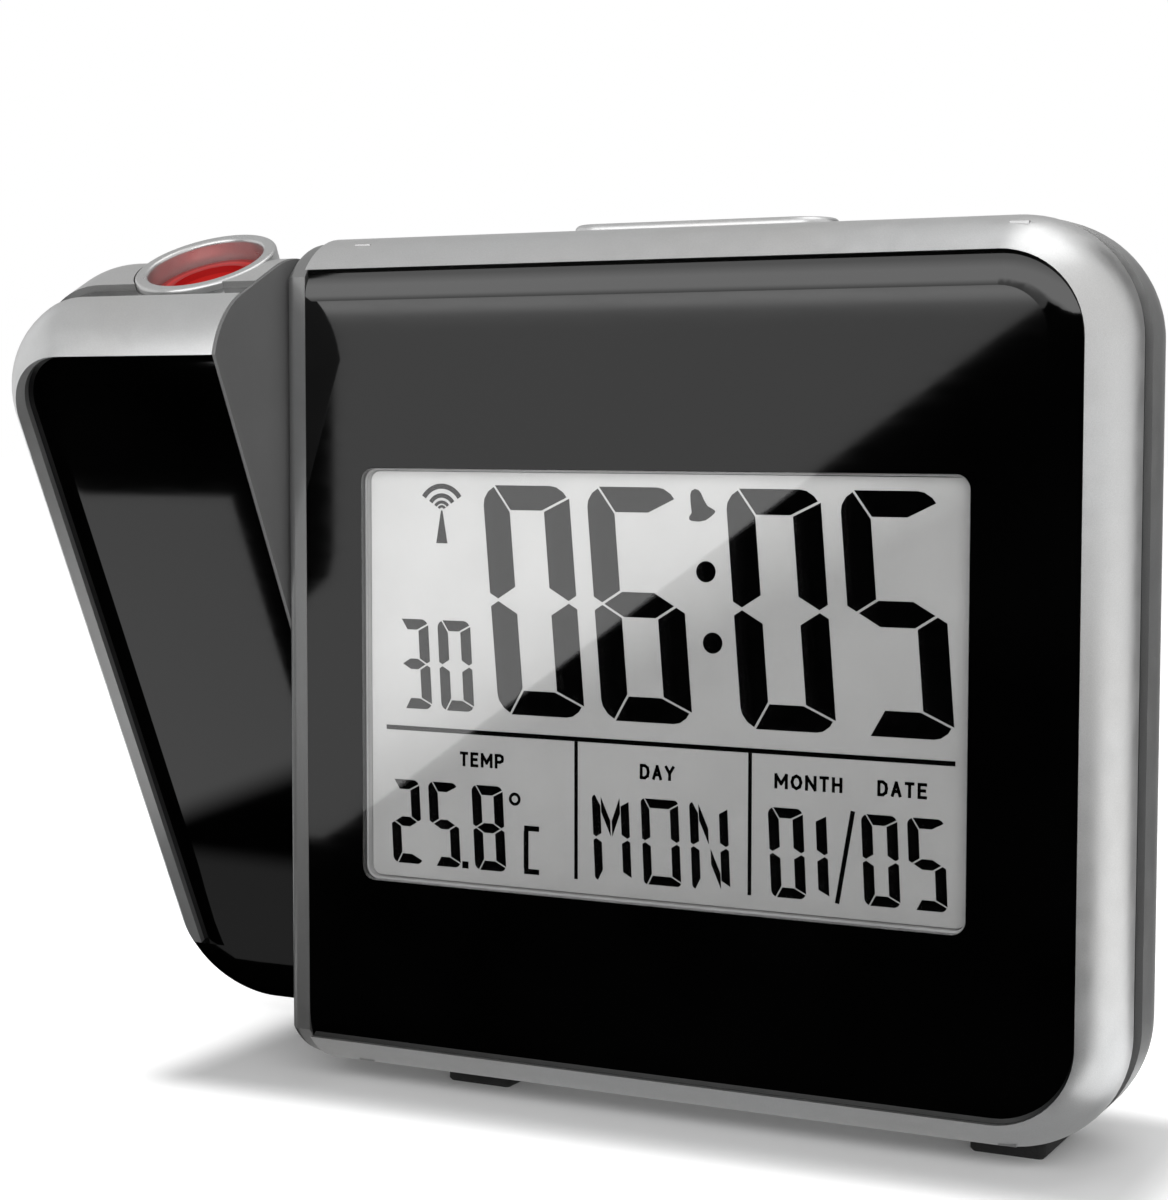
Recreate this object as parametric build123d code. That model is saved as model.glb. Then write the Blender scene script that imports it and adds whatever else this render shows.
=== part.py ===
from build123d import *
import math
import os

# Projection alarm clock: a main unit with a display, and a projector pod that tilts on a
# hollow shaft at the main unit's left end. All sizes are in millimetres, angles in degrees.
#
# Working frame: origin at the middle of the display, on the flat front plane. +X is to the
# viewer's right, +Y to the rear, +Z up. The pod is drawn upright, where it lines up with the
# main unit, and is leaned at the end. place() then moves everything so that the origin
# is at the middle of the footprint, on the table.

# ---- Display and front panel --------------------------------------------------------------
display_width = 72.0
display_height = 47.0
display_corner = 1.3
display_recess = 1.65        # from the front plane back to the liquid crystal glass
opening_margin = 0.3         # panel opening, outside the display on every side
margin_left = 7.7            # black panel round the display
margin_right = 11.9
margin_top = 23.0
margin_bottom = 19.7
panel_corner = 9.0
panel_thickness = 2.2
panel_roll_width = 3.6       # the gloss panel rolls back along its edges
panel_roll_drop = 0.7
window_thickness = 0.8

# ---- Housings -------------------------------------------------------------------------------
bezel_depth = 8.2            # front plane to the shadow band
bezel_rise = 3.95            # how far the bezel swells out past the panel edge
band_width = 3.5             # recessed black band between the front and rear housings
band_inset = 0.8
case_depth = 27.5
rear_round = 12.0
wall = 2.0
round_margin = 0.2           # what the edge rounds leave of a corner round
panel_ledge = 2.0            # ledge behind the panel
ledge_thickness = 1.2
end_plate_thickness = 2.8    # cap on the main unit's left end
end_plate_inset = 0.5
end_plate_round = 1.2

# ---- Projector pod ----------------------------------------------------------------------------
pod_gap = 0.7                # air between the end plate and the pod
pod_panel_width = 28.4       # from the pod's inner shell edge to the panel's outer edge
pod_panel_corner = 7.0
pod_side_rise = 5.6          # silver margin outside the pod's panel
pod_corner = 12.0
toe_height = 9.2             # black foot of the pod's panel, from the bottom up
toe_round = 3.0
toe_inset = 2.2
cover_lip = 0.4              # thin lip of the inner cover, over the shell edges
cover_thickness = 2.0
pod_lean = 25.9              # forward lean of the pod as it stands
pivot_height = 12.9          # pod axis, above the middle of the display
shaft_radius = 7.0
shaft_wall = 2.5
shaft_length = 6.6           # from the pod's inner cover into the main unit
shaft_flange_width = 3.0
shaft_flange_gap = 0.3       # from the flange to the rear wall; this places the pod's axis
shaft_flange_thickness = 1.4
bush_wall = 1.5
bush_flange_width = 1.4
bush_flange_thickness = 1.0
clip_thickness = 0.8
clip_rim = 2.4               # how far the clip stands out past the shaft
clip_groove = 0.8
clip_mouth = 8.0
washer_thickness = 0.5
washer_margin = 0.4          # from the washer's rim to the clip's

# ---- Projector optics ---------------------------------------------------------------------------
ring_radius = 8.6            # focus ring
ring_wall = 1.6
ring_side_margin = 2.2       # from the ring to the pod's inner shell edge
ring_seat_depth = 8.15       # floor of the ring's seat, below the pod's top
ring_proud = 0.15
ring_round = 0.3             # rounding of its rim, as a share of its wall
seat_wall = 1.9
seat_floor = 4.3
barrel_gap = 0.4             # between the barrel and the focus ring
barrel_wall = 1.0
barrel_lip = 1.8
barrel_lip_height = 0.8
barrel_length = 8.8
barrel_sink = 2.4            # barrel rim below the pod's top
lens_sink = 2.9              # middle of the lens, below the barrel's rim
lens_surface = 12.0          # radius of both of the lens's surfaces
lens_half_thickness = 1.9
light_tube_wall = 1.0
light_tube_length = 32.0
led_radius = 2.5
led_height = 7.0
led_rim = 0.4
led_rim_height = 1.0
condenser_rise = 11.0        # condenser's and small display's heights in the light tube
condenser_rim = 1.2
condenser_dome = 3.0
condenser_surface = 9.0
projection_lcd_rise = 18.0
projection_lcd_fill = 0.65   # its side, as a share of the tube's bore
projection_lcd_thickness = 1.6
shelf_thickness = 1.5
shelf_ledge = 1.0

# ---- Snooze bar -------------------------------------------------------------------------------
snooze_length = 32.0
snooze_width = 8.0
snooze_x = -0.6
snooze_y = 16.4
snooze_proud = 1.15
snooze_travel = 0.8
snooze_ear = 2.2
snooze_ear_front = 2.0
snooze_ear_rear = 1.4
snooze_ear_thickness = 1.1
snooze_ear_gap = 0.5         # air between the ears and the top wall
snooze_stem_radius = 2.0
snooze_stem_length = 3.0
snooze_round = 0.7
snooze_board_length = 24.0
snooze_board_width = 9.0
snooze_ledge = 3.0           # ledges that carry the snooze board
snooze_ledge_height = 3.0
snooze_ledge_reach = 4.0     # in front of the bar's middle

# ---- Rear face --------------------------------------------------------------------------------
key_count = 5
key_pitch = 12.5
key_length = 8.0
key_height = 5.0
key_corner = 1.3
key_drop = 23.45             # keys' centre line, below the case's top
key_proud = 0.9
key_round = 0.5
key_travel = 0.4
key_flange = 0.9
key_flange_thickness = 1.0
key_foot_radius = 1.7
key_foot_length = 0.5
key_board_width = 9.0
key_board_end = 9.4          # from the outer keys' middle to the board's end
key_post_radius = 1.7
key_post_margin = 0.3        # from a post to the board's end
side_centre = 16.85          # switch and socket, from the case's right side
switch_drop = 45.45          # below the case's top
switch_slot_length = 7.0
switch_slot_height = 3.0
switch_slot_corner = 1.2
switch_throw = 1.5           # each way
switch_body_length = 12.0
switch_body_height = 6.0
switch_body_depth = 6.0
switch_floor = 2.4
knob_length = 3.2
knob_height = 2.2
knob_proud = 0.5
knob_groove = 0.3            # width and depth of the grip grooves
knob_groove_pitch = 0.8
jack_rise = 30.15            # above the case's underside
jack_width = 9.0
jack_height = 10.0
jack_depth = 10.0
jack_bore_radius = 2.8
jack_bore_depth = 8.0
jack_collar = 0.6
jack_pin_radius = 0.85
buzzer_inset = 10.2          # from the main unit's left end
buzzer_rise = 39.15
buzzer_radius = 6.0
buzzer_height = 5.0
buzzer_round = 0.6
buzzer_port_radius = 1.0
buzzer_port_depth = 1.5
buzzer_cup = 3.0
buzzer_cup_wall = 1.0
sound_hole_radius = 0.7
sound_hole_circle = 3.2
sound_hole_count = 6

# ---- Batteries (two micro cells) ----------------------------------------------------------------
cell_diameter = 10.5
cell_length = 43.7
cell_nub = 0.8
cell_gap = 1.0
cell_nub_radius = 1.9
cell_round = 0.5
bay_rise = 25.15             # middle of the battery bay, above the case's underside
bay_clearance = 0.5
bay_wall = 1.5
bay_corner = 0.6
bay_rib_width = 2.0          # low rib between the cells
bay_rib_height = 2.5
bay_cover = 0.6              # air between the cells and the door
contact_space = 3.2          # room at each end for the spring and plate contacts
contact_plate = 0.4
contact_side = 8.0
contact_button_radius = 1.6
spring_radius = 2.4
spring_wire = 0.25
spring_turns = 2
door_thickness = 1.6
door_lap = 1.4               # door overlap round the bay's opening
door_gap = 0.3
door_corner = 1.2
door_notch_radius = 5.0      # finger notch in the housing, over the catch
door_notch_depth = 1.0
door_tongue = 1.6            # how far the tongues reach under the housing
door_tongue_width = 6.0
door_tongue_thickness = 1.0
door_tongue_start = 0.4      # from the door's lower edge to the tongue's root
door_tongue_root = 1.2       # how far the root reaches up inside the bay
door_catch_width = 10.0
door_catch_depth = 2.6
door_catch_thickness = 0.8
door_catch_gap = 0.5         # from the bay's upper wall to the catch
door_rib_count = 4
door_rib_margin = 2.2        # from the door's upper edge to the first rib
door_rib_pitch = 1.6
door_rib_width = 0.7
door_rib_depth = 0.35
door_rib_length = 14.0

# ---- Boards, screws and feet ----------------------------------------------------------------------
board_thickness = 1.6
board_corner = 1.5
lcd_glass_thickness = 1.8
light_guide_thickness = 2.5
light_guide_corner = 0.8
frame_margin = 4.0           # display frame, outside the display opening
frame_back = 6.0             # depth of the display frame's back face
strip_width = 1.8
strip_edge = 1.5             # middle of a connector strip, inside the glass's edge
main_board_depth = 9.0
blob_x, blob_z = -8.0, 9.0   # resin blob over the controller
blob_radius = 7.0
blob_height = 1.2
blob_round = 1.0
chip_x, chip_z = -26.0, 16.0
chip_length = 8.0
chip_width = 4.0
chip_height = 1.6
capacitor_x, capacitor_z = 24.0, -2.0
capacitor_radius = 2.5
capacitor_height = 2.2
board_screw_radius = 1.0
board_screw_head_radius = 1.9
board_screw_length = 3.6
tact_side = 6.0
tact_height = 3.5
tact_plunger_radius = 1.7
tact_plunger_height = 0.6
screw_inset_left = 5.7       # case screws, from the case's edges
screw_inset_right = 11.85
screw_inset_top = 17.45
screw_inset_bottom = 14.15
screw_pocket = 2.4           # screw seats, in front of the rear wall's inner face
screw_radius = 1.3
screw_head_radius = 2.4
screw_head_height = 1.7
screw_slot = 0.5
screw_edge = 0.25            # bevel, recess reach and recess depth, as shares of the head
screw_recess_reach = 0.62
screw_recess_depth = 0.5
boss_floor = 1.0             # solid end of each boss
screw_tip_gap = 0.5          # air past each screw's tip
post_radius = 3.1
pod_screw_inset = 11.0       # two pod screws, from the pod's outer side
pod_screw_drop = 20.45       # the upper one, below the case's top
pod_screw_rise = 19.15       # the lower one, above the case's underside
pod_screw_inner_inset = 6.0  # the third one, from the pod's inner shell edge
pod_screw_inner_rise = 17.15
pod_screw_pocket = 1.4
foot_width = 8.4
foot_length = 12.0
foot_front = 10.6
foot_drop = 2.25
foot_height = 4.0            # how far a foot reaches up the rounded underside
foot_inset_left = 16.7
foot_inset_right = 14.15
foot_corner = 0.8
foot_bevel = 0.3

# ---- Clearances -----------------------------------------------------------------------------------
fit = 0.05                   # glued, snapped or screwed pieces
running = 0.08               # a shaft in its bore
button_gap = 0.3             # round a moving button
step_gap = 0.1               # pieces stacked on one another
screw_gap = 0.2              # round a screw in a plain hole

# ---- Worked out from the sizes above ----------------------------------------------------------------
overshoot = 40.0             # how far a form runs past the plane that cuts it
cut_past = 1.0               # how far a cut runs past the face that it opens
far = 200.0                  # further out than any piece
panel_left, panel_right = -display_width / 2 - margin_left, display_width / 2 + margin_right
panel_bottom, panel_top = -display_height / 2 - margin_bottom, display_height / 2 + margin_top
case_left, case_right = panel_left, panel_right + bezel_rise
case_bottom, case_top = panel_bottom - bezel_rise, panel_top + bezel_rise
case_corner = panel_corner + bezel_rise
bezel_arc = (bezel_depth ** 2 + bezel_rise ** 2) / (2 * bezel_rise)
roll_arc = (panel_roll_width ** 2 + panel_roll_drop ** 2) / (2 * panel_roll_drop)
band_back = bezel_depth + band_width
ledge_back = panel_thickness + ledge_thickness
rear_inside = case_depth - wall
pivot_depth = rear_inside - shaft_flange_gap - shaft_flange_width - shaft_radius
end_plate_left = case_left - end_plate_thickness
pod_face = end_plate_left - pod_gap
pod_right = pod_face - cover_lip
pod_panel_left = pod_right - pod_panel_width
pod_left = pod_panel_left - pod_side_rise
toe_top = case_bottom + toe_height
cover_left = pod_face - cover_thickness
bush_radius = shaft_radius + running + bush_wall
bush_end = case_left + bush_flange_thickness
washer_left = bush_end + fit
clip_left = washer_left + washer_thickness + 2 * step_gap
glass_back = display_recess + lcd_glass_thickness
main_board_back = main_board_depth + board_thickness

lens_x = pod_right - ring_side_margin - ring_radius
ring_floor = case_top - ring_seat_depth
seat_bottom = ring_floor - seat_floor
seat_radius = ring_radius + running + seat_wall
barrel_radius = ring_radius - ring_wall - barrel_gap
barrel_top = case_top - barrel_sink
light_tube_radius = barrel_radius + light_tube_wall
lens_depth = rear_inside - step_gap - light_tube_radius
light_tube_top = seat_bottom - fit
light_tube_bottom = light_tube_top - light_tube_length
light_tube_bore = light_tube_radius - light_tube_wall
projection_lcd_side = 2 * light_tube_bore * projection_lcd_fill
projection_lcd_bottom = light_tube_bottom + projection_lcd_rise

key_xs = [(i - (key_count - 1) / 2) * key_pitch for i in range(key_count)]
key_z = case_top - key_drop
key_flange_face = rear_inside - button_gap
key_foot_end = key_flange_face - key_flange_thickness - key_foot_length
key_board_back = key_foot_end - key_travel - step_gap - tact_plunger_height - tact_height
key_board_half = key_xs[-1] + key_board_end
snooze_cap_depth = wall + snooze_ear_gap + snooze_ear_thickness
snooze_under = case_top - snooze_cap_depth
snooze_stem_end = snooze_under - snooze_stem_length
snooze_board_top = snooze_stem_end - snooze_travel - step_gap - tact_plunger_height - tact_height
snooze_board_bottom = snooze_board_top - board_thickness
side_x = case_right - side_centre
switch_z = case_top - switch_drop
jack_z = case_bottom + jack_rise
buzzer_x = case_left + buzzer_inset
buzzer_z = case_bottom + buzzer_rise

bay_z = case_bottom + bay_rise
bay_half_length = (cell_length + cell_nub) / 2 + contact_space
bay_half_height = cell_diameter + cell_gap / 2 + bay_clearance
door_inside = case_depth - door_thickness
bay_floor = door_inside - bay_cover - cell_diameter - bay_clearance
cell_y = bay_floor + (bay_clearance + cell_diameter) / 2
cell_zs = [bay_z - (cell_diameter + cell_gap) / 2, bay_z + (cell_diameter + cell_gap) / 2]
contact_face = bay_half_length - fit - contact_plate
cell_end = (cell_length + cell_nub) / 2 + fit
door_half_length = bay_half_length + door_lap
door_half_height = bay_half_height + door_lap
tongue_xs = [-bay_half_length / 2, bay_half_length / 2]

screw_xs = [case_left + screw_inset_left, case_right - screw_inset_right]
screw_zs = [case_bottom + screw_inset_bottom, case_top - screw_inset_top]
screw_spots = [(x, z) for x in screw_xs for z in screw_zs]
screw_seat = rear_inside - screw_pocket
pod_screw_x = pod_left + pod_screw_inset
pod_screw_spots = [(pod_screw_x, case_top - pod_screw_drop), (pod_screw_x, case_bottom + pod_screw_rise),
                   (pod_right - pod_screw_inner_inset, case_bottom + pod_screw_inner_rise)]
pod_screw_seat = rear_inside - pod_screw_pocket
foot_xs = [case_left + foot_inset_left, case_right - foot_inset_right]
board_screw_x = display_width / 2 + frame_margin / 2
board_screw_z = display_height / 2 + frame_margin / 2
board_screw_spots = [(sx * board_screw_x, sz * board_screw_z) for sx in (-1, 1) for sz in (-1, 1)]


# ---- Construction helpers ---------------------------------------------------------------------------
def block(x0, x1, y0, y1, z0, z1):
    """A box between two corners."""
    centre = ((x0 + x1) / 2, (y0 + y1) / 2, (z0 + z1) / 2)
    return Pos(*centre) * Box(abs(x1 - x0), y1 - y0, z1 - z0)


def clip(shape, x0=-far, x1=far, y0=-far, y1=far, z0=-far, z1=far):
    """The part of a shape between the given planes."""
    return shape & block(x0, x1, y0, y1, z0, z1)


def slab(outline, y0, y1):
    """A front-view outline, drawn in X and Z, made solid between two depths."""
    front = Plane(origin=(0, y0, 0), x_dir=(1, 0, 0), z_dir=(0, -1, 0))
    return extrude(front * outline, amount=y0 - y1)


def rounded(left, right, bottom, top, corner):
    """A rounded rectangle in front view, between four edges."""
    middle = Pos((left + right) / 2, (bottom + top) / 2)
    return middle * RectangleRounded(right - left, top - bottom, corner)


def centred(width, height, corner, x=0.0, z=0.0):
    """A rounded rectangle in front view, about a point."""
    return Pos(x, z) * RectangleRounded(width, height, corner)


def rod_x(y, z, radius, x0, x1):
    """A cylinder from left to right."""
    return Pos((x0 + x1) / 2, y, z) * Rot(0, 90, 0) * Cylinder(radius, abs(x1 - x0))


def rod_y(x, z, radius, y0, y1):
    """A cylinder from front to rear."""
    return slab(Pos(x, z) * Circle(radius), y0, y1)


def rod_z(x, y, radius, z0, z1):
    """An upright cylinder."""
    return Pos(x, y, (z0 + z1) / 2) * Cylinder(radius, z1 - z0)


def pivot_rod(radius, x0, x1):
    """A cylinder on the pod's axis."""
    return rod_x(pivot_depth, pivot_height, radius, x0, x1)


def optic_rod(radius, z0, z1):
    """A cylinder on the projector's optical axis."""
    return rod_z(lens_x, lens_depth, radius, z0, z1)


def group(shapes):
    """Separate solids that are kept as one piece."""
    return Compound(list(shapes))


def housing_form(left, right, bottom, top, corner, inset=0.0):
    """The rounded outer form of a housing, or the same form some way inside it.
    The front edge is an arc that would meet the front plane at the panel's edge."""
    outline = rounded(left + inset, right - inset, bottom + inset, top - inset, corner - inset)
    form = slab(outline, bezel_depth - bezel_arc + inset, case_depth - inset)
    form = fillet(form.edges().group_by(Axis.Y)[0], min(bezel_arc, corner - round_margin) - inset)
    return fillet(form.edges().group_by(Axis.Y)[-1], min(rear_round, corner - 2 * round_margin) - inset)


def main_form(inset=0.0):
    """The main unit's form, cut off square at its left end."""
    form = housing_form(case_left - overshoot, case_right, case_bottom, case_top, case_corner, inset)
    return clip(form, x0=case_left)


def pod_form(inset=0.0):
    """The pod's form, cut off square at its inner side."""
    form = housing_form(pod_left, pod_right + overshoot, case_bottom, case_top, pod_corner, inset)
    return clip(form, x1=pod_right)


def rolled_plate(left, right, bottom, top, corner, thickness):
    """A plate whose flat face rolls back towards all its edges."""
    grow = roll_arc - panel_roll_width
    outline = rounded(left - grow, right + grow, bottom - grow, top + grow, corner + grow)
    crown = slab(outline, 0, roll_arc + thickness)
    crown = fillet(crown.edges().group_by(Axis.Y)[0], roll_arc)
    return crown & slab(rounded(left, right, bottom, top, corner), 0, thickness)


def band_ring(form_at):
    """The recessed ring between two housings, open at the housings' cut end."""
    ring = clip(form_at(band_inset), y0=bezel_depth, y1=band_back)
    return ring - clip(form_at(wall), y0=bezel_depth, y1=band_back)


def screw_y(x, z, seat, length, head_radius=screw_head_radius, radius=screw_radius):
    """A pan-head screw driven in from the rear. Its head rests on the seat."""
    top = seat + screw_head_height
    head = rod_y(x, z, head_radius, seat, top)
    head = chamfer(head.edges().group_by(Axis.Y)[-1], head_radius * screw_edge)
    reach = head_radius * screw_recess_reach
    depth = screw_head_height * screw_recess_depth
    cross = block(x - reach, x + reach, top - depth, top, z - screw_slot / 2, z + screw_slot / 2)
    cross += block(x - screw_slot / 2, x + screw_slot / 2, top - depth, top, z - reach, z + reach)
    return head + rod_y(x, z, radius, seat - length, seat) - cross


def tact_body(x, y, z):
    """A push switch's body, facing the rear from the given depth."""
    half = tact_side / 2
    return block(x - half, x + half, y, y + tact_height, z - half, z + half)


# ---- Main unit: front ---------------------------------------------------------------------------------
def front_bezel():
    """Silver frame round the top, right and bottom of the panel, with the case screws' bosses."""
    frame = clip(main_form(), y0=0, y1=bezel_depth)
    frame -= clip(main_form(wall), y0=ledge_back, y1=bezel_depth)
    frame -= slab(rounded(case_left - overshoot, panel_right, panel_bottom, panel_top, panel_corner),
                  0, panel_thickness)
    inner = rounded(case_left - overshoot, panel_right - panel_ledge, panel_bottom + panel_ledge,
                    panel_top - panel_ledge, panel_corner - panel_ledge)
    frame -= slab(inner, 0, ledge_back)
    for x, z in screw_spots:
        edge = case_top - wall / 2 if z > 0 else case_bottom + wall / 2
        frame += rod_y(x, z, post_radius, ledge_back - step_gap, band_back)
        frame += block(x - wall / 2, x + wall / 2, ledge_back, bezel_depth, min(z, edge), max(z, edge))
    for x, z in screw_spots:
        frame -= rod_y(x, z, screw_radius + fit, ledge_back + boss_floor, band_back)
    return frame


def front_panel():
    """Black gloss panel with the display opening."""
    plate = rolled_plate(case_left - overshoot, panel_right - fit, panel_bottom + fit, panel_top - fit,
                         panel_corner - fit, panel_thickness)
    opening = centred(display_width + 2 * opening_margin, display_height + 2 * opening_margin,
                      display_corner + opening_margin)
    return clip(plate, x0=case_left) - slab(opening, 0, panel_thickness)


def opening_outline():
    """Outline of a piece that is let into the panel's opening."""
    grow = opening_margin - fit
    return centred(display_width + 2 * grow, display_height + 2 * grow, display_corner + grow)


def display_window():
    """Clear pane, flush with the panel."""
    return slab(opening_outline(), 0, window_thickness)


def display_frame():
    """Pale frame behind the panel. Its collar lines the opening, and its posts carry the main board."""
    frame = slab(opening_outline(), window_thickness + fit, panel_thickness + fit)
    plate = centred(display_width + 2 * frame_margin, display_height + 2 * frame_margin, frame_margin / 2)
    frame += slab(plate, panel_thickness + fit, frame_back)
    frame -= slab(centred(display_width, display_height, display_corner), 0, frame_back)
    for x, z in board_screw_spots:
        frame += rod_y(x, z, board_screw_head_radius, frame_back, main_board_depth - fit)
    bore_end = main_board_back - board_screw_length - screw_tip_gap
    for x, z in board_screw_spots:
        frame -= rod_y(x, z, board_screw_radius + fit, bore_end, main_board_depth)
    return frame


def lcd_glass():
    """The display's glass sandwich."""
    outline = centred(display_width - 4 * fit, display_height - 4 * fit, display_corner - 2 * fit)
    return slab(outline, display_recess, glass_back)


def light_guide():
    """Backlight sheet behind the glass, between the connector strips."""
    height = display_height - 2 * (strip_edge + button_gap) - strip_width
    outline = centred(display_width - 4 * fit, height, light_guide_corner)
    return slab(outline, glass_back + fit, glass_back + fit + light_guide_thickness)


def zebra_strips():
    """Elastomer strips that join the glass to the board."""
    half_length = display_width / 2 - 2 * strip_width
    middle = display_height / 2 - strip_edge
    return group(block(-half_length, half_length, glass_back + fit, main_board_depth - fit,
                       side * middle - strip_width / 2, side * middle + strip_width / 2)
                 for side in (-1, 1))


def main_board():
    """Main circuit board, with the controller's resin blob, a chip and a capacitor."""
    outline = centred(display_width + 2 * frame_margin, display_height + 2 * frame_margin,
                      board_corner)
    board = slab(outline, main_board_depth, main_board_back)
    for x, z in board_screw_spots:
        board -= rod_y(x, z, board_screw_radius + 2 * fit, main_board_depth, main_board_back)
    blob = rod_y(blob_x, blob_z, blob_radius, main_board_back, main_board_back + blob_height)
    board += fillet(blob.edges().group_by(Axis.Y)[-1], blob_round)
    board += rod_y(capacitor_x, capacitor_z, capacitor_radius, main_board_back,
                   main_board_back + capacitor_height)
    return board + block(chip_x - chip_length / 2, chip_x + chip_length / 2, main_board_back,
                         main_board_back + chip_height, chip_z - chip_width / 2, chip_z + chip_width / 2)


def board_screws():
    """Four small screws that hold the main board."""
    return group(screw_y(x, z, main_board_back + fit, board_screw_length, board_screw_head_radius,
                         board_screw_radius) for x, z in board_screw_spots)


def shadow_band():
    """Black recessed ring between the bezel and the rear housing."""
    return band_ring(main_form)


# ---- Main unit: left end and pod bearing -----------------------------------------------------------------
def end_plate():
    """Cap on the left end, with the bearing bore. Its section is a little inside the housing's."""
    form = housing_form(case_left - overshoot, case_right, case_bottom, case_top, case_corner,
                        end_plate_inset)
    plate = clip(form, x0=end_plate_left, x1=case_left - fit, y0=0)
    plate = fillet(plate.edges().group_by(Axis.X)[0], end_plate_round)
    return plate - pivot_rod(bush_radius + fit, end_plate_left, case_left)


def shaft_bush():
    """Flanged plastic bush in the end plate. The pod's shaft turns in it."""
    bush = pivot_rod(bush_radius, end_plate_left, case_left)
    bush += pivot_rod(bush_radius + bush_flange_width, case_left, bush_end)
    return bush - pivot_rod(shaft_radius + running, end_plate_left, bush_end)


def friction_washer():
    """Washer under the retaining clip. It drags on the bush, so that the pod stays where it is put."""
    washer = pivot_rod(shaft_radius + clip_rim - washer_margin, washer_left,
                       washer_left + washer_thickness)
    return washer - pivot_rod(shaft_radius + running, washer_left, washer_left + washer_thickness)


# ---- Main unit: rear -----------------------------------------------------------------------------------
def battery_bay():
    """Walls and floor of the battery bay, solid."""
    outer = centred(2 * (bay_half_length + bay_wall), 2 * (bay_half_height + bay_wall),
                    bay_corner + bay_wall, 0, bay_z)
    return slab(outer, bay_floor - bay_wall, rear_inside + wall / 2)


def bay_hollow():
    """Everything that is open in and over the battery bay."""
    hollow = slab(centred(2 * bay_half_length, 2 * bay_half_height, bay_corner, 0, bay_z),
                  bay_floor, case_depth)
    hollow -= block(-bay_half_length, bay_half_length, bay_floor, bay_floor + bay_rib_height,
                    bay_z - bay_rib_width / 2, bay_z + bay_rib_width / 2)
    door = centred(2 * (door_half_length + door_gap), 2 * (door_half_height + door_gap),
                   door_corner + door_gap, 0, bay_z)
    hollow += slab(door, door_inside - step_gap, case_depth)
    half = door_tongue_width / 2 + door_gap
    bottom = bay_z - door_half_height - door_tongue - 2 * door_gap
    for x in tongue_xs:
        hollow += block(x - half, x + half, door_inside - 2 * door_tongue - door_tongue_thickness,
                        door_inside, bottom, bay_z - bay_half_height + step_gap)
    return hollow + rod_y(0, bay_z + door_half_height, door_notch_radius,
                          case_depth - door_notch_depth, case_depth)


def rear_openings():
    """Openings through the rear wall for the keys, the switch, the socket and the buzzer's sound."""
    cuts = [slab(centred(key_length + 2 * button_gap, key_height + 2 * button_gap, key_corner + button_gap,
                         x, key_z), rear_inside, case_depth) for x in key_xs]
    cuts.append(slab(centred(switch_slot_length, switch_slot_height, switch_slot_corner,
                             side_x, switch_z), rear_inside, case_depth))
    cuts.append(rod_y(side_x, jack_z, jack_bore_radius + jack_collar + fit, rear_inside, case_depth))
    cuts.append(rod_y(buzzer_x, buzzer_z, sound_hole_radius, rear_inside, case_depth))
    for i in range(sound_hole_count):
        turn = 2 * math.pi * i / sound_hole_count
        x = buzzer_x + sound_hole_circle * math.cos(turn)
        z = buzzer_z + sound_hole_circle * math.sin(turn)
        cuts.append(rod_y(x, z, sound_hole_radius, rear_inside, case_depth))
    return cuts


def rear_supports():
    """Ledges, posts and cups that hold the boards and the buzzer, inside the rear wall."""
    back = rear_inside + wall / 2
    holders = []
    for side in (-1, 1):
        x = snooze_x + side * (snooze_board_length - snooze_ledge) / 2
        holders.append(block(x - snooze_ledge / 2, x + snooze_ledge / 2, snooze_y - snooze_ledge_reach, back,
                             snooze_board_bottom - snooze_ledge_height, snooze_board_bottom - fit))
        x = side * (key_board_half - key_post_radius - key_post_margin)
        holders.append(rod_y(x, key_z, key_post_radius, key_board_back + fit, back))
    cup = rod_y(buzzer_x, buzzer_z, buzzer_radius + fit + buzzer_cup_wall, rear_inside - buzzer_cup, back)
    bore = rod_y(buzzer_x, buzzer_z, buzzer_radius + fit, rear_inside - buzzer_cup, rear_inside)
    holders.append(cup - bore)
    return holders


def rear_housing():
    """Silver rear shell with the battery bay, the screw posts and the openings."""
    shell = clip(main_form(), y0=band_back) - clip(main_form(wall), y0=band_back)
    posts = [rod_y(x, z, post_radius, band_back + step_gap, rear_inside + wall / 2) for x, z in screw_spots]
    for piece in posts + rear_supports() + [battery_bay()]:
        shell += piece
    shell -= bay_hollow()
    for cut in rear_openings():
        shell -= cut
    for x, z in screw_spots:
        shell -= rod_y(x, z, screw_head_radius + button_gap, screw_seat, case_depth)
        shell -= rod_y(x, z, screw_radius + screw_gap, band_back, screw_seat)
    hole = SlotOverall(snooze_length + 2 * button_gap, snooze_width + 2 * button_gap)
    return shell - extrude(Pos(snooze_x, snooze_y, case_top - 2 * wall) * hole, amount=3 * wall)


def case_screws():
    """Four screws that hold the rear housing to the bezel."""
    length = screw_seat - ledge_back - boss_floor - screw_tip_gap
    return group(screw_y(x, z, screw_seat + fit, length) for x, z in screw_spots)


def key_board():
    """Small board that carries the keys' switches."""
    outline = centred(2 * key_board_half, key_board_width, board_corner, 0, key_z)
    return slab(outline, key_board_back - board_thickness, key_board_back)


def key_switches():
    """Push switches under the rear keys."""
    tip = key_board_back + tact_height
    return group(tact_body(x, key_board_back, key_z)
                 + rod_y(x, key_z, tact_plunger_radius, tip, tip + tact_plunger_height) for x in key_xs)


def rear_key(x):
    """One rear key: a cap through the rear wall, a flange behind it and a foot over the switch."""
    cap = slab(centred(key_length, key_height, key_corner, x, key_z), key_flange_face, case_depth + key_proud)
    cap = fillet(cap.edges().group_by(Axis.Y)[-1], key_round)
    flange = centred(key_length + 2 * key_flange, key_height + 2 * key_flange, key_corner, x, key_z)
    cap += slab(flange, key_flange_face - key_flange_thickness, key_flange_face)
    return cap + rod_y(x, key_z, key_foot_radius, key_foot_end, key_flange_face)


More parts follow.
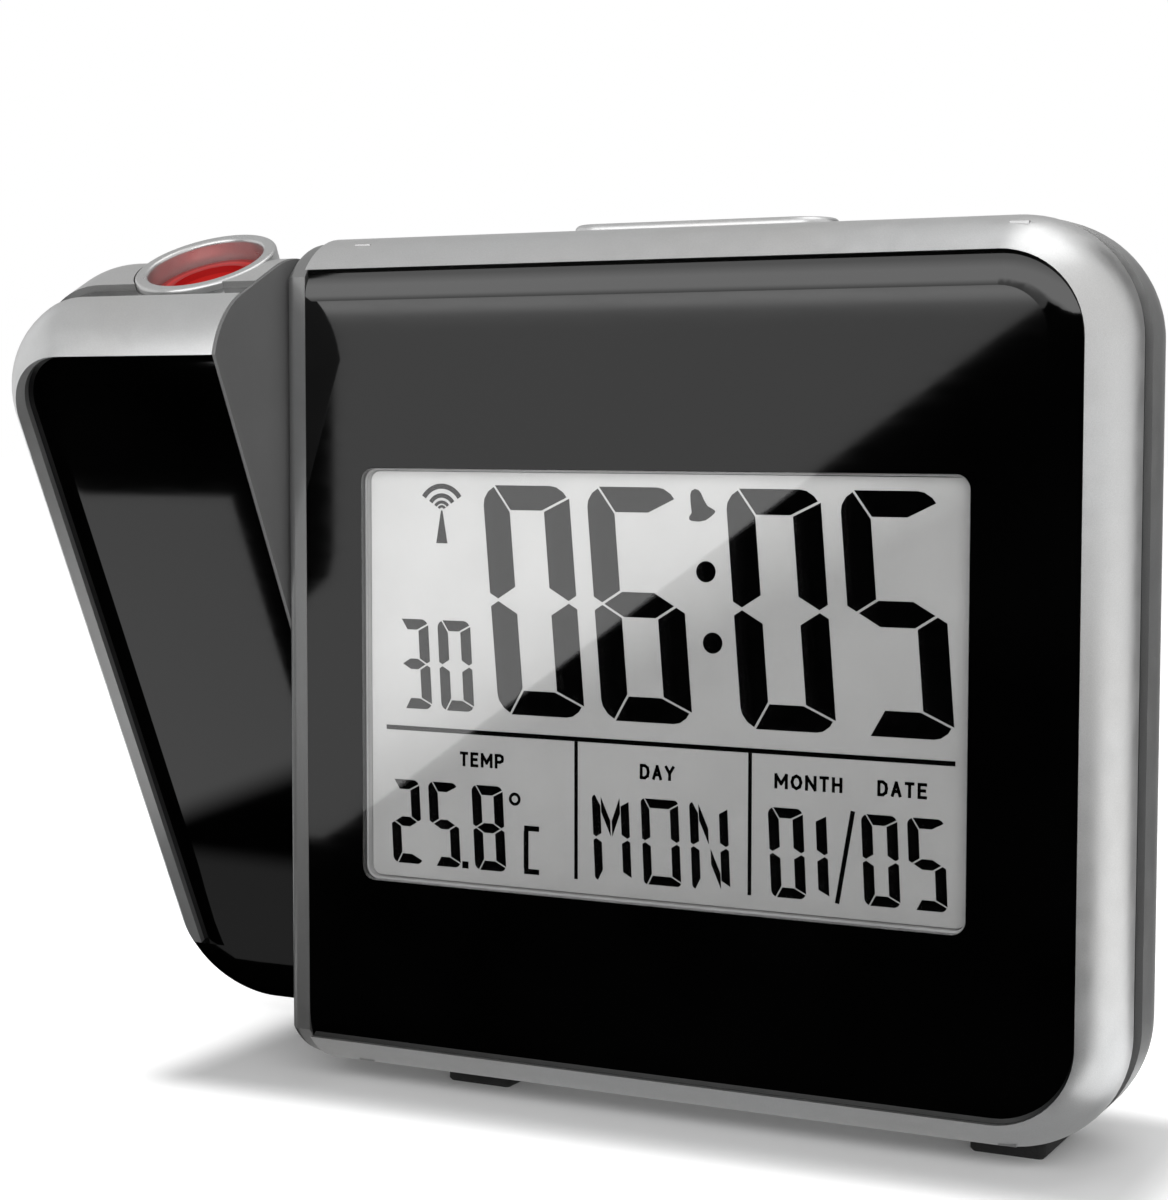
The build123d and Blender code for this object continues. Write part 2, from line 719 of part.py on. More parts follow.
def snooze_board():
    """Small board under the snooze bar, with its push switch."""
    half_length, half_width, half_tact = snooze_board_length / 2, snooze_board_width / 2, tact_side / 2
    board = block(snooze_x - half_length, snooze_x + half_length, snooze_y - half_width,
                  snooze_y + half_width, snooze_board_bottom, snooze_board_top)
    tip = snooze_board_top + tact_height
    board += block(snooze_x - half_tact, snooze_x + half_tact, snooze_y - half_tact,
                   snooze_y + half_tact, snooze_board_top, tip)
    return board + rod_z(snooze_x, snooze_y, tact_plunger_radius, tip, tip + tact_plunger_height)


def snooze_bar():
    """The snooze button on top: a long cap, two retaining ears and a stem over the switch."""
    cap = extrude(Pos(snooze_x, snooze_y, snooze_under) * SlotOverall(snooze_length, snooze_width),
                  amount=snooze_cap_depth + snooze_proud)
    cap = fillet(cap.edges().group_by(Axis.Z)[-1], snooze_round)
    half = snooze_length / 2 + snooze_ear
    cap += block(snooze_x - half, snooze_x + half, snooze_y - snooze_ear_front,
                 snooze_y + snooze_ear_rear, snooze_under, snooze_under + snooze_ear_thickness)
    return cap + rod_z(snooze_x, snooze_y, snooze_stem_radius, snooze_stem_end, snooze_under)


def slide_switch_body():
    """Slide switch for the projector's lamp, behind its slot."""
    half_length, half_height = switch_body_length / 2, switch_body_height / 2
    body = block(side_x - half_length, side_x + half_length, rear_inside - switch_body_depth,
                 rear_inside - fit, switch_z - half_height, switch_z + half_height)
    reach = knob_length / 2 + switch_throw + button_gap
    rise = knob_height / 2 + button_gap
    return body - block(side_x - reach, side_x + reach, rear_inside - switch_body_depth + switch_floor,
                        rear_inside, switch_z - rise, switch_z + rise)


def slide_switch_knob():
    """The sliding knob, with grip grooves across it."""
    face = case_depth + knob_proud
    front = rear_inside - switch_body_depth + switch_floor + button_gap
    low, high = switch_z - knob_height / 2, switch_z + knob_height / 2
    knob = block(side_x - knob_length / 2, side_x + knob_length / 2, front, face, low, high)
    for i in (-1, 0, 1):
        x = side_x + i * knob_groove_pitch
        knob -= block(x - knob_groove / 2, x + knob_groove / 2, face - knob_groove, face, low, high)
    return knob


def dc_socket():
    """Mains adapter socket with its centre pin."""
    back = rear_inside - fit
    socket = block(side_x - jack_width / 2, side_x + jack_width / 2, back - jack_depth, back,
                   jack_z - jack_height / 2, jack_z + jack_height / 2)
    socket += rod_y(side_x, jack_z, jack_bore_radius + jack_collar, back - jack_collar,
                    case_depth - button_gap)
    socket -= rod_y(side_x, jack_z, jack_bore_radius, case_depth - jack_bore_depth - wall, case_depth)
    return socket + rod_y(side_x, jack_z, jack_pin_radius, back - jack_depth, rear_inside)


def buzzer():
    """Round alarm buzzer behind the sound holes."""
    can = rod_y(buzzer_x, buzzer_z, buzzer_radius, rear_inside - fit - buzzer_height, rear_inside - fit)
    can = fillet(can.edges().group_by(Axis.Y)[0], buzzer_round)
    return can - rod_y(buzzer_x, buzzer_z, buzzer_port_radius, rear_inside - buzzer_port_depth, rear_inside)


def battery_cell(z, side):
    """One micro cell along X, with its nub on the given side."""
    can = rod_x(cell_y, z, cell_diameter / 2, -cell_length / 2, cell_length / 2)
    can = fillet(can.edges(), cell_round)
    nub = rod_x(cell_y, z, cell_nub_radius, side * (cell_length / 2 - cell_round),
                side * (cell_length / 2 + cell_nub))
    return Pos(-side * cell_nub / 2, 0, 0) * (can + nub)


def contact(z, side, sprung):
    """A contact plate in the bay's end, with a button or a coiled spring on it."""
    half = contact_side / 2
    x0, x1 = sorted((side * contact_face, side * (contact_face + contact_plate)))
    plate = block(x0, x1, cell_y - half, cell_y + half, z - half, z + half)
    if not sprung:
        return plate + rod_x(cell_y, z, contact_button_radius, side * cell_end, side * contact_face)
    reach = contact_face - cell_end - spring_wire
    path = Helix(reach / spring_turns, reach, spring_radius)
    coil = sweep(Plane(path @ 0, z_dir=path % 0) * Circle(spring_wire), path, is_frenet=True)
    return plate + Pos(side * contact_face, cell_y, z) * Rot(0, -90 * side, 0) * coil


def battery_contacts():
    """A plate at each nub and a coiled spring at each flat end."""
    return group(contact(z, side, side != nub_side)
                 for z, nub_side in zip(cell_zs, (1, -1)) for side in (-1, 1))


def battery_door():
    """Battery door with two tongues at its lower edge, a catch at its upper edge and grip ribs."""
    door = slab(centred(2 * door_half_length, 2 * door_half_height, door_corner, 0, bay_z),
                door_inside, case_depth)
    top, bottom = bay_z + door_half_height, bay_z - door_half_height
    half = door_tongue_width / 2
    for x in tongue_xs:
        door += block(x - half, x + half, door_inside - door_tongue_thickness, door_inside,
                      bottom + door_tongue_start, bottom + door_lap + door_tongue_root)
        door += block(x - half, x + half, door_inside - door_tongue_thickness, door_inside - 2 * step_gap,
                      bottom - door_tongue, bottom + door_tongue_start + 2 * step_gap)
    catch_top = bay_z + bay_half_height - door_catch_gap
    door += block(-door_catch_width / 2, door_catch_width / 2, door_inside - door_catch_depth,
                  door_inside, catch_top - door_catch_thickness, catch_top)
    for i in range(door_rib_count):
        z = top - door_rib_margin - i * door_rib_pitch
        door -= block(-door_rib_length / 2, door_rib_length / 2, case_depth - door_rib_depth, case_depth,
                      z - door_rib_width / 2, z + door_rib_width / 2)
    return door


def feet():
    """Two rubber pads under the main unit, shaped to its rounded underside."""
    pads = []
    for x in foot_xs:
        pad = block(x - foot_width / 2, x + foot_width / 2, foot_front, foot_front + foot_length,
                    case_bottom - foot_drop, case_bottom + foot_height)
        pad = fillet(pad.edges().filter_by(Axis.Z), foot_corner)
        pad = chamfer(pad.faces().sort_by(Axis.Z)[0].edges(), foot_bevel)
        pads.append(pad - main_form(-fit))
    return group(pads)


# ---- Pod, drawn upright --------------------------------------------------------------------------------
def pod_opening(edge, corner, y0, y1):
    """The space for the pod's panel, or the smaller one behind its ledge. It is open below."""
    outline = rounded(pod_panel_left + edge, pod_right + overshoot, case_bottom - overshoot,
                      panel_top - edge, corner)
    return clip(slab(outline, y0, y1), x1=pod_right)


def pod_bezel():
    """Silver frame over the top and down the outer side of the pod's front."""
    frame = clip(pod_form(), y0=0, y1=bezel_depth, z0=toe_top)
    frame -= pod_opening(0, pod_panel_corner, 0, panel_thickness)
    frame -= pod_opening(panel_ledge, pod_panel_corner - panel_ledge, 0, ledge_back)
    frame -= clip(pod_form(wall), y0=ledge_back, y1=bezel_depth)
    return frame - optic_rod(ring_radius + running, ring_floor, case_top)


def pod_toe():
    """Solid lower end of the pod's panel. Its front edge turns under with a small radius."""
    outline = rounded(pod_left + toe_inset, pod_right + overshoot, case_bottom, case_top, pod_corner)
    toe = slab(outline, 0, bezel_depth)
    toe = fillet(toe.edges().group_by(Axis.Y)[0], toe_round)
    toe = clip(toe, x1=pod_right) + clip(pod_form(), y0=0, y1=bezel_depth)
    return clip(toe, z1=toe_top - fit)


def pod_panel():
    """Black gloss front of the pod. It turns under at the bottom, and carries the pod screws' bosses."""
    panel = rolled_plate(pod_panel_left + fit, pod_right + overshoot, case_bottom - overshoot,
                         panel_top - fit, pod_panel_corner - fit, panel_thickness)
    panel = clip(panel, x1=pod_right, z0=toe_top - fit)
    panel += pod_toe() - clip(pod_form(wall), y0=panel_thickness, y1=bezel_depth)
    for x, z in pod_screw_spots:
        panel += rod_y(x, z, post_radius, panel_thickness - step_gap, bezel_depth)
    for x, z in pod_screw_spots:
        panel -= rod_y(x, z, screw_radius + fit, panel_thickness + boss_floor, bezel_depth)
    return panel


def lens_seat(y0, y1):
    """Solid collar under the focus ring, between two depths."""
    return clip(optic_rod(seat_radius, seat_bottom, case_top), y0=y0, y1=y1)


def lens_bores():
    """The focus ring's seat and, under it, the barrel's guide bore."""
    seat = optic_rod(ring_radius + running, ring_floor, case_top + cut_past)
    return seat + optic_rod(barrel_radius + running, seat_bottom - cut_past, ring_floor + cut_past)


def pod_band():
    """Black recessed ring round the pod."""
    ring = band_ring(pod_form)
    collar = optic_rod(seat_radius, seat_bottom, case_top)
    ring += clip(pod_form(band_inset), y0=bezel_depth, y1=band_back) & collar
    return ring - lens_bores()


def pod_rear_housing():
    """Silver rear shell of the pod, with the focus ring's seat."""
    shell = clip(pod_form(), y0=band_back) - clip(pod_form(wall), y0=band_back)
    shell += lens_seat(band_back, case_depth) & pod_form()
    for x, z in pod_screw_spots:
        shell += rod_y(x, z, post_radius, bezel_depth + step_gap, rear_inside + wall / 2) & pod_form(wall / 4)
    shell -= lens_bores()
    for x, z in pod_screw_spots:
        shell -= rod_y(x, z, screw_head_radius + button_gap, pod_screw_seat, case_depth)
        shell -= rod_y(x, z, screw_radius + screw_gap, bezel_depth, pod_screw_seat)
    return shell


def pod_screws():
    """Three screws that close the pod."""
    length = pod_screw_seat - panel_thickness - boss_floor - screw_tip_gap
    return group(screw_y(x, z, pod_screw_seat + fit, length) for x, z in pod_screw_spots)


def pod_inner_cover():
    """Dark cover on the pod's inner side: a thin lip over the shell edges, and a plate inside them."""
    lip = housing_form(pod_left, pod_right + overshoot, case_bottom, case_top, pod_corner, step_gap)
    lip = clip(lip, x0=pod_right, x1=pod_face, y0=step_gap)
    plate = housing_form(pod_left, pod_right + overshoot, case_bottom, case_top, pod_corner, wall + step_gap)
    plate = clip(plate, x0=cover_left, x1=pod_right, y0=ledge_back)
    plate -= optic_rod(seat_radius + step_gap, seat_bottom - step_gap, case_top)
    return lip + plate - pivot_rod(shaft_radius + fit, cover_left, pod_face)


def pod_shaft():
    """Hollow shaft that carries the pod, with its flange and the groove for the retaining clip."""
    flange_left = cover_left - shaft_flange_thickness
    tip = pod_face + shaft_length
    shaft = pivot_rod(shaft_radius, flange_left, tip)
    shaft += pivot_rod(shaft_radius + shaft_flange_width, flange_left, cover_left)
    groove = pivot_rod(shaft_radius + cut_past, clip_left - fit, clip_left + clip_thickness + fit)
    groove -= pivot_rod(shaft_radius - clip_groove, clip_left - fit, clip_left + clip_thickness + fit)
    return shaft - groove - pivot_rod(shaft_radius - shaft_wall, flange_left, tip)


def retaining_clip():
    """Open spring clip in the shaft's groove."""
    right = clip_left + clip_thickness
    ring = pivot_rod(shaft_radius + clip_rim, clip_left, right)
    ring -= pivot_rod(shaft_radius - clip_groove + fit, clip_left, right)
    mouth = clip_mouth / 2
    return ring - block(clip_left, right, pivot_depth - mouth, pivot_depth + mouth,
                        pivot_height - 2 * shaft_radius, pivot_height)


def light_tube():
    """Dark tube that carries the lamp's light up to the lens, with a ledge for the small display."""
    tube = optic_rod(light_tube_radius, light_tube_bottom, light_tube_top)
    tube -= optic_rod(light_tube_bore, light_tube_bottom, light_tube_top)
    top = projection_lcd_bottom - step_gap
    shelf = optic_rod(light_tube_radius - light_tube_wall / 2, top - shelf_thickness, top)
    half = projection_lcd_side / 2 - shelf_ledge
    return tube + shelf - block(lens_x - half, lens_x + half, lens_depth - half, lens_depth + half,
                                top - shelf_thickness, top)


def led_board():
    """Round board under the lamp, which closes the light tube."""
    top = light_tube_bottom - fit
    return optic_rod(light_tube_radius, top - board_thickness, top)


def red_led():
    """Red lamp with a domed top."""
    dome_z = light_tube_bottom + led_height - led_radius
    lamp = optic_rod(led_radius, light_tube_bottom, dome_z)
    lamp += optic_rod(led_radius + led_rim, light_tube_bottom,
                      light_tube_bottom + led_rim_height)
    return lamp + Pos(lens_x, lens_depth, dome_z) * Sphere(led_radius)


def condenser_lens():
    """Plano-convex lens that spreads the lamp's light over the small display."""
    bottom = light_tube_bottom + condenser_rise
    top = bottom + condenser_rim + condenser_dome
    ball = Pos(lens_x, lens_depth, top - condenser_surface) * Sphere(condenser_surface)
    return optic_rod(light_tube_bore - fit, bottom, top) & ball


def projection_lcd():
    """Small liquid crystal glass whose digits are projected."""
    half = projection_lcd_side / 2
    return block(lens_x - half, lens_x + half, lens_depth - half, lens_depth + half,
                 projection_lcd_bottom, projection_lcd_bottom + projection_lcd_thickness)


def focus_ring():
    """Silver focus ring. It is level with the pod's top, and proud where the shell rounds off."""
    foot, rim = ring_floor + step_gap, case_top + ring_proud
    ring = optic_rod(ring_radius, foot, rim) - optic_rod(ring_radius - ring_wall, foot, rim)
    rim_edges = ring.edges().filter_by(GeomType.CIRCLE).group_by(Axis.Z)[-1]
    return fillet(rim_edges, ring_wall * ring_round)


def lens_barrel():
    """Barrel that slides in its guide as the focus ring turns."""
    bottom, lip = barrel_top - barrel_length, barrel_top - barrel_lip_height
    barrel = optic_rod(barrel_radius, bottom, barrel_top)
    barrel -= optic_rod(barrel_radius - barrel_wall, bottom, lip)
    return barrel - optic_rod(barrel_radius - barrel_lip, lip, barrel_top)


def objective_lens():
    """Biconvex lens in the barrel."""
    middle = barrel_top - lens_sink
    upper = Pos(lens_x, lens_depth, middle + lens_half_thickness - lens_surface) * Sphere(lens_surface)
    lower = Pos(lens_x, lens_depth, middle - lens_half_thickness + lens_surface) * Sphere(lens_surface)
    blank = optic_rod(barrel_radius - barrel_wall - fit, middle - 2 * lens_half_thickness,
                      middle + 2 * lens_half_thickness)
    return blank & upper & lower


# ---- Pieces, by name -----------------------------------------------------------------------------------
main_pieces = {
    "front_bezel": front_bezel,
    "front_panel": front_panel,
    "display_window": display_window,
    "display_frame": display_frame,
    "lcd_glass": lcd_glass,
    "light_guide": light_guide,
    "zebra_strips": zebra_strips,
    "main_board": main_board,
    "board_screws": board_screws,
    "shadow_band": shadow_band,
    "rear_housing": rear_housing,
    "case_screws": case_screws,
    "end_plate": end_plate,
    "shaft_bush": shaft_bush,
    "friction_washer": friction_washer,
    "snooze_bar": snooze_bar,
    "snooze_board": snooze_board,
    "key_board": key_board,
    "key_switches": key_switches,
    "slide_switch_body": slide_switch_body,
    "slide_switch_knob": slide_switch_knob,
    "dc_socket": dc_socket,
    "buzzer": buzzer,
    "battery_lower": lambda: battery_cell(cell_zs[0], 1),
    "battery_upper": lambda: battery_cell(cell_zs[1], -1),
    "battery_contacts": battery_contacts,
    "battery_door": battery_door,
    "feet": feet,
}
for number, key_x in enumerate(key_xs, 1):
    main_pieces[f"rear_key_{number}"] = lambda x=key_x: rear_key(x)

pod_pieces = {
    "pod_bezel": pod_bezel,
    "pod_panel": pod_panel,
    "pod_band": pod_band,
    "pod_rear_housing": pod_rear_housing,
    "pod_screws": pod_screws,
    "pod_inner_cover": pod_inner_cover,
    "pod_shaft": pod_shaft,
    "retaining_clip": retaining_clip,
    "light_tube": light_tube,
    "led_board": led_board,
    "red_led": red_led,
    "condenser_lens": condenser_lens,
    "projection_lcd": projection_lcd,
    "focus_ring": focus_ring,
    "lens_barrel": lens_barrel,
    "objective_lens": objective_lens,
}


def lean(shape):
    """Leans a pod piece forward about the pod's axis."""
    axis = Pos(0, pivot_depth, pivot_height)
    return axis * Rot(pod_lean, 0, 0) * axis.inverse() * shape


def place(pieces):
    """Moves all the pieces so that the origin is at the middle of the footprint, on the table."""
    boxes = [shape.bounding_box() for shape in pieces.values()]
    low = [min(tuple(box.min)[i] for box in boxes) for i in range(3)]
    high = [max(tuple(box.max)[i] for box in boxes) for i in range(3)]
    move = (-(low[0] + high[0]) / 2, -(low[1] + high[1]) / 2, -low[2])
    print("moved by", [round(step, 4) for step in move])
    return {name: Pos(*move) * shape for name, shape in pieces.items()}


pieces = {name: make() for name, make in main_pieces.items()}
pieces.update({name: lean(make()) for name, make in pod_pieces.items()})
pieces = place(pieces)
os.makedirs("parts", exist_ok=True)
for name, shape in pieces.items():
    export_step(shape, f"parts/{name}.step")
print("pieces", len(pieces))
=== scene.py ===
import math

import bmesh
import bpy
from mathutils import Matrix, Vector
from mathutils.geometry import tessellate_polygon


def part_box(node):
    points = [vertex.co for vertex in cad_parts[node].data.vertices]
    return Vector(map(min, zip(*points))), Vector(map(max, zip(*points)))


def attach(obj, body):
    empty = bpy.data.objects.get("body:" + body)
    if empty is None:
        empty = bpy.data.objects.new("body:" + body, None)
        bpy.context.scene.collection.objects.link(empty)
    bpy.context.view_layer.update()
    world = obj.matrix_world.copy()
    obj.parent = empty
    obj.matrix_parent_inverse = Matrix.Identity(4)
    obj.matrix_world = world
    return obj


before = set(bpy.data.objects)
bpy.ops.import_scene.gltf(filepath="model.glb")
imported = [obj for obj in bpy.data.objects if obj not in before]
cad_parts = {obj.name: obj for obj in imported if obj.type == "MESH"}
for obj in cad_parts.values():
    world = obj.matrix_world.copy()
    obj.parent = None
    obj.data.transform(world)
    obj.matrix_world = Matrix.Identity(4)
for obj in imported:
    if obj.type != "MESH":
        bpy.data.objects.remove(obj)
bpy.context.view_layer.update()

# Lengths in this script are in millimetres about the middle of the display, on the front plane,
# with X to the viewer's right, Y to the rear and Z up. at() and MM turn them into the frame's metres.
MM = 0.001
window_low, window_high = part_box("display_window")
centre = Vector(((window_low.x + window_high.x) / 2, window_low.y, (window_low.z + window_high.z) / 2))


def at(x, y, z):
    """A point in millimetres about the display's middle, as a point of the frame."""
    return centre + Vector((x, y, z)) * MM


floor_z = -centre.z / MM
pod_lean = math.radians(25.9)
pod_back = Vector((0, math.cos(pod_lean), math.sin(pod_lean)))
pod_up = Vector((0, -math.sin(pod_lean), math.cos(pod_lean)))
scene = bpy.context.scene
scene.view_settings.view_transform = "Standard"


# ---- Camera, solved from the photograph's straight edges ----------------------------------------
camera_spot = Vector((116.02, -246.04, 29.13))
camera_yaw, camera_pitch, camera_roll = (math.radians(a) for a in (26.689, 4.0706, 0.05))
focal_pixels, image_height = 2513.07, 1200
sensor_width = 36.0

forward = Vector((-math.sin(camera_yaw) * math.cos(camera_pitch),
                  math.cos(camera_yaw) * math.cos(camera_pitch), -math.sin(camera_pitch)))
camera = bpy.data.objects.new("camera", bpy.data.cameras.new("camera"))
scene.collection.objects.link(camera)
camera.data.sensor_width = sensor_width
camera.data.lens = focal_pixels / image_height * sensor_width
camera.data.clip_start, camera.data.clip_end = 0.01, 20
camera.location = at(*camera_spot)
camera.rotation_mode = "QUATERNION"
roll = Matrix.Rotation(camera_roll, 4, "Z").to_quaternion()
camera.rotation_quaternion = forward.to_track_quat("-Z", "Y") @ roll
scene.camera = camera


# ---- Shader helpers -------------------------------------------------------------------------------
class Nodes:
    """A material's node tree, with short calls for the nodes used here. Where a call takes a value,
    that is another node's output, or a plain number or colour."""

    def __init__(self, name):
        self.material = bpy.data.materials.new(name)
        self.material.use_nodes = True
        self.tree = self.material.node_tree
        self.tree.nodes.clear()
        self.output = self.add("ShaderNodeOutputMaterial")
        self.place = self.add("ShaderNodeTexCoord").outputs["Object"]

    def add(self, kind, **values):
        node = self.tree.nodes.new(kind)
        for key, value in values.items():
            setattr(node, key, value)
        return node

    def feed(self, value, socket):
        if isinstance(value, bpy.types.NodeSocket):
            self.tree.links.new(value, socket)
        else:
            socket.default_value = value

    def math(self, operation, *values):
        node = self.add("ShaderNodeMath", operation=operation)
        for value, socket in zip(values, node.inputs):
            self.feed(value, socket)
        return node.outputs["Value"]

    def vector(self, operation, *values):
        node = self.add("ShaderNodeVectorMath", operation=operation)
        for value, socket in zip(values, node.inputs):
            self.feed(value, socket)
        return node.outputs["Value" if operation in ("DOT_PRODUCT", "LENGTH") else "Vector"]

    def noise(self, size_mm, detail=2.0, roughness=0.5, stretch=(1, 1, 1)):
        """Noise whose features are about size_mm across. stretch lengthens them along an axis."""
        mapping = self.add("ShaderNodeMapping")
        mapping.inputs["Scale"].default_value = [1 / (size_mm * MM * s) for s in stretch]
        self.feed(self.place, mapping.inputs["Vector"])
        noise = self.add("ShaderNodeTexNoise")
        noise.inputs["Scale"].default_value = 1.0
        noise.inputs["Detail"].default_value = detail
        noise.inputs["Roughness"].default_value = roughness
        self.feed(mapping.outputs["Vector"], noise.inputs["Vector"])
        return noise.outputs["Fac"]

    def remap(self, value, low, high, from_low=0.3, from_high=0.7, interpolation="LINEAR"):
        """Spreads a range over low to high. The range given by default holds nearly all of a noise."""
        node = self.add("ShaderNodeMapRange", interpolation_type=interpolation)
        for key, number in (("From Min", from_low), ("From Max", from_high), ("To Min", low), ("To Max", high)):
            node.inputs[key].default_value = number
        self.feed(value, node.inputs["Value"])
        return node.outputs["Result"]

    def mix(self, factor, first, second, blend_type="MIX"):
        node = self.add("ShaderNodeMix", data_type="RGBA", blend_type=blend_type)
        for value, socket in ((factor, "Factor"), (first, 6), (second, 7)):
            self.feed(value, node.inputs[socket])
        return node.outputs[2]

    def blend(self, noise, dark, light):
        """From the dark to the light colour as a noise rises."""
        return self.mix(self.remap(noise, 0, 1), (*dark, 1), (*light, 1))

    def ramp(self, length, stops, interpolation="LINEAR"):
        """A ramp through (place, colour) stops, where place is a length in millimetres."""
        node = self.add("ShaderNodeValToRGB")
        node.color_ramp.interpolation = interpolation
        elements = node.color_ramp.elements
        while len(elements) < len(stops):
            elements.new(0.5)
        first, last = stops[0][0], stops[-1][0]
        for element, (place, colour) in zip(elements, stops):
            element.position = (place - first) / (last - first)
            element.color = (*colour, 1)
        self.feed(self.remap(length, 0, 1, first * MM, last * MM), node.inputs["Fac"])
        return node.outputs["Color"]

    def bump(self, height, strength, depth_mm, below=None):
        node = self.add("ShaderNodeBump")
        node.inputs["Strength"].default_value = strength
        node.inputs["Distance"].default_value = depth_mm * MM
        self.feed(height, node.inputs["Height"])
        if below is not None:
            self.feed(below, node.inputs["Normal"])
        return node.outputs["Normal"]

    def surface(self, **values):
        """The Principled shader, on the output. Returns the finished material."""
        shader = self.add("ShaderNodeBsdfPrincipled")
        for key, value in values.items():
            self.feed(value, shader.inputs[key.replace("_", " ").title().replace("Ior", "IOR")])
        self.feed(shader.outputs["BSDF"], self.output.inputs["Surface"])
        return self.material

    def emission(self, strength, colour=(1, 1, 1, 1)):
        """Plain light, on the output. Returns the finished material."""
        shader = self.add("ShaderNodeEmission")
        self.feed(colour, shader.inputs["Color"])
        self.feed(strength, shader.inputs["Strength"])
        self.feed(shader.outputs["Emission"], self.output.inputs["Surface"])
        return self.material


def grey(value, tint=(1.0, 1.0, 1.0)):
    return tuple(value * t for t in tint)


def plastic(name, colour, roughness, vary=0.08, grain_mm=0.35, grain_depth=0.01, specular=0.5, **coat):
    """Moulded plastic: faint flow mottling, fine surface grain, and uneven gloss."""
    n = Nodes(name)
    dark, light = [c * (1 - vary) for c in colour], [min(1, c * (1 + vary)) for c in colour]
    grain = n.bump(n.noise(grain_mm, 3, 0.6), 0.35, grain_depth)
    return n.surface(base_color=n.blend(n.noise(14, 3), dark, light),
                     roughness=n.remap(n.noise(3, 4), roughness * 0.88, min(1, roughness * 1.15)),
                     normal=n.bump(n.noise(5, 2), 0.06, 0.05, grain), specular_ior_level=specular, **coat)


def silver_paint(name, level, metallic, roughness=0.36, texture=1.0):
    """Satin silver lacquer over plastic: fine metal flake, orange peel and a slight warm to cool drift."""
    n = Nodes(name)
    warm, cool = grey(level * 0.97, (1.0, 0.995, 0.985)), grey(level * 1.03, (0.985, 0.995, 1.0))
    flake = n.noise(0.09, 2, 0.7)
    spark = n.mix(n.remap(flake, 0, 1, 0.35, 0.65), (*grey(0.92), 1), (*grey(1.07), 1))
    flake_relief = n.bump(flake, 0.12 * texture, 0.004)
    return n.surface(base_color=n.mix(1.0, n.blend(n.noise(22, 2), warm, cool), spark, "MULTIPLY"), metallic=metallic,
                     roughness=n.remap(n.noise(2.2, 3), roughness * 0.9, roughness * 1.12),
                     normal=n.bump(n.noise(1.1, 2), 0.10 * texture, 0.012, flake_relief))


def gloss_black(name, roughness, mirror):
    """Polished black plastic: slow mould waves, and a haze of fine wipe marks in the gloss."""
    n = Nodes(name)
    wipe = n.noise(1.2, 3, 0.6, stretch=(6, 1, 1))
    return n.surface(base_color=n.blend(n.noise(18, 2), grey(0.0003), grey(0.0007)),
                     roughness=n.remap(wipe, roughness * 0.85, roughness * 1.2),
                     normal=n.bump(n.noise(16, 1), 0.05, 0.03), specular_ior_level=mirror)


def metal(name, level, roughness=0.25, tint=(1.0, 1.0, 1.0), stretch=(1, 1, 8)):
    """Bright plated metal with fine drawing lines."""
    n = Nodes(name)
    lines = n.noise(0.12, 3, 0.6, stretch=stretch)
    return n.surface(base_color=n.blend(lines, grey(level * 0.85, tint), grey(level * 1.08, tint)), metallic=1.0,
                     roughness=n.remap(n.noise(1.5, 3), roughness * 0.75, roughness * 1.3),
                     normal=n.bump(lines, 0.2, 0.01))


def rubber(name, level):
    """Matt rubber with a fine sandy grain."""
    n = Nodes(name)
    grain = n.noise(0.25, 4, 0.65)
    return n.surface(base_color=n.blend(n.noise(4, 3), grey(level * 0.75), grey(level * 1.3)),
                     roughness=n.remap(grain, 0.75, 0.95), normal=n.bump(grain, 0.6, 0.05))


def clear_pane(name, face_share=0.0485, tint=0.985):
    """A thin clear pane: it passes what is behind it, and each face mirrors by Schlick's form of the
    Fresnel law, from face_share seen squarely. (The Fresnel node itself would mirror everything at the
    pane's inner face beyond 42 degrees, because the pane doesn't bend the light.)"""
    n = Nodes(name)
    through = n.add("ShaderNodeBsdfTransparent")
    n.feed(n.remap(n.noise(9, 3), tint - 0.01, tint + 0.01), through.inputs["Color"])
    mirror = n.add("ShaderNodeBsdfGlossy")
    n.feed(n.remap(n.noise(2, 3), 0.008, 0.02), mirror.inputs["Roughness"])
    mirror.inputs["Color"].default_value = (1, 1, 1, 1)
    slant = n.add("ShaderNodeLayerWeight")
    slant.inputs["Blend"].default_value = 0.5
    mix = n.add("ShaderNodeMixShader")
    n.feed(n.remap(n.math("POWER", slant.outputs["Facing"], 5.0), face_share, 1, 0, 1), mix.inputs["Fac"])
    n.feed(through.outputs["BSDF"], mix.inputs[1])
    n.feed(mirror.outputs["BSDF"], mix.inputs[2])
    n.feed(mix.outputs["Shader"], n.output.inputs["Surface"])
    return n.material


# Liquid crystal film and its ink lie under the same clear gloss.
film_gloss = {"coat_weight": 0.7, "coat_roughness": 0.02}


def reflective_display(name, pale_way, levels):
    """The display's pale grey reflector behind polarizing film: a fine pearly grain under gloss. Its grey is painted
    paler beyond a diagonal towards one corner, a painted reflection. levels are (millimetres from the middle along
    pale_way, level)."""
    n = Nodes(name)
    pearl = n.noise(0.16, 3, 0.6)
    along = n.vector("DOT_PRODUCT", n.vector("SUBTRACT", n.place, centre), pale_way)
    # The painted reflection: the grey rises along pale_way through the levels.
    level = n.ramp(along, [(place, grey(level)) for place, level in levels])
    grain = n.blend(pearl, grey(0.975, (1.0, 1.0, 0.99)), grey(1.02, (1.0, 1.0, 0.995)))
    return n.surface(base_color=n.mix(1.0, level, grain, "MULTIPLY"), roughness=n.remap(pearl, 0.4, 0.55),
                     normal=n.bump(pearl, 0.1, 0.01), specular_ior_level=0.2, **film_gloss)


def ink(name, level):
    """Printed or liquid crystal black, with a faint unevenness in its depth."""
    n = Nodes(name)
    return n.surface(base_color=n.blend(n.noise(1.5, 3), grey(level * 0.7), grey(level * 1.4)),
                     roughness=n.remap(n.noise(0.6, 2), 0.36, 0.44), specular_ior_level=0.0, **film_gloss)


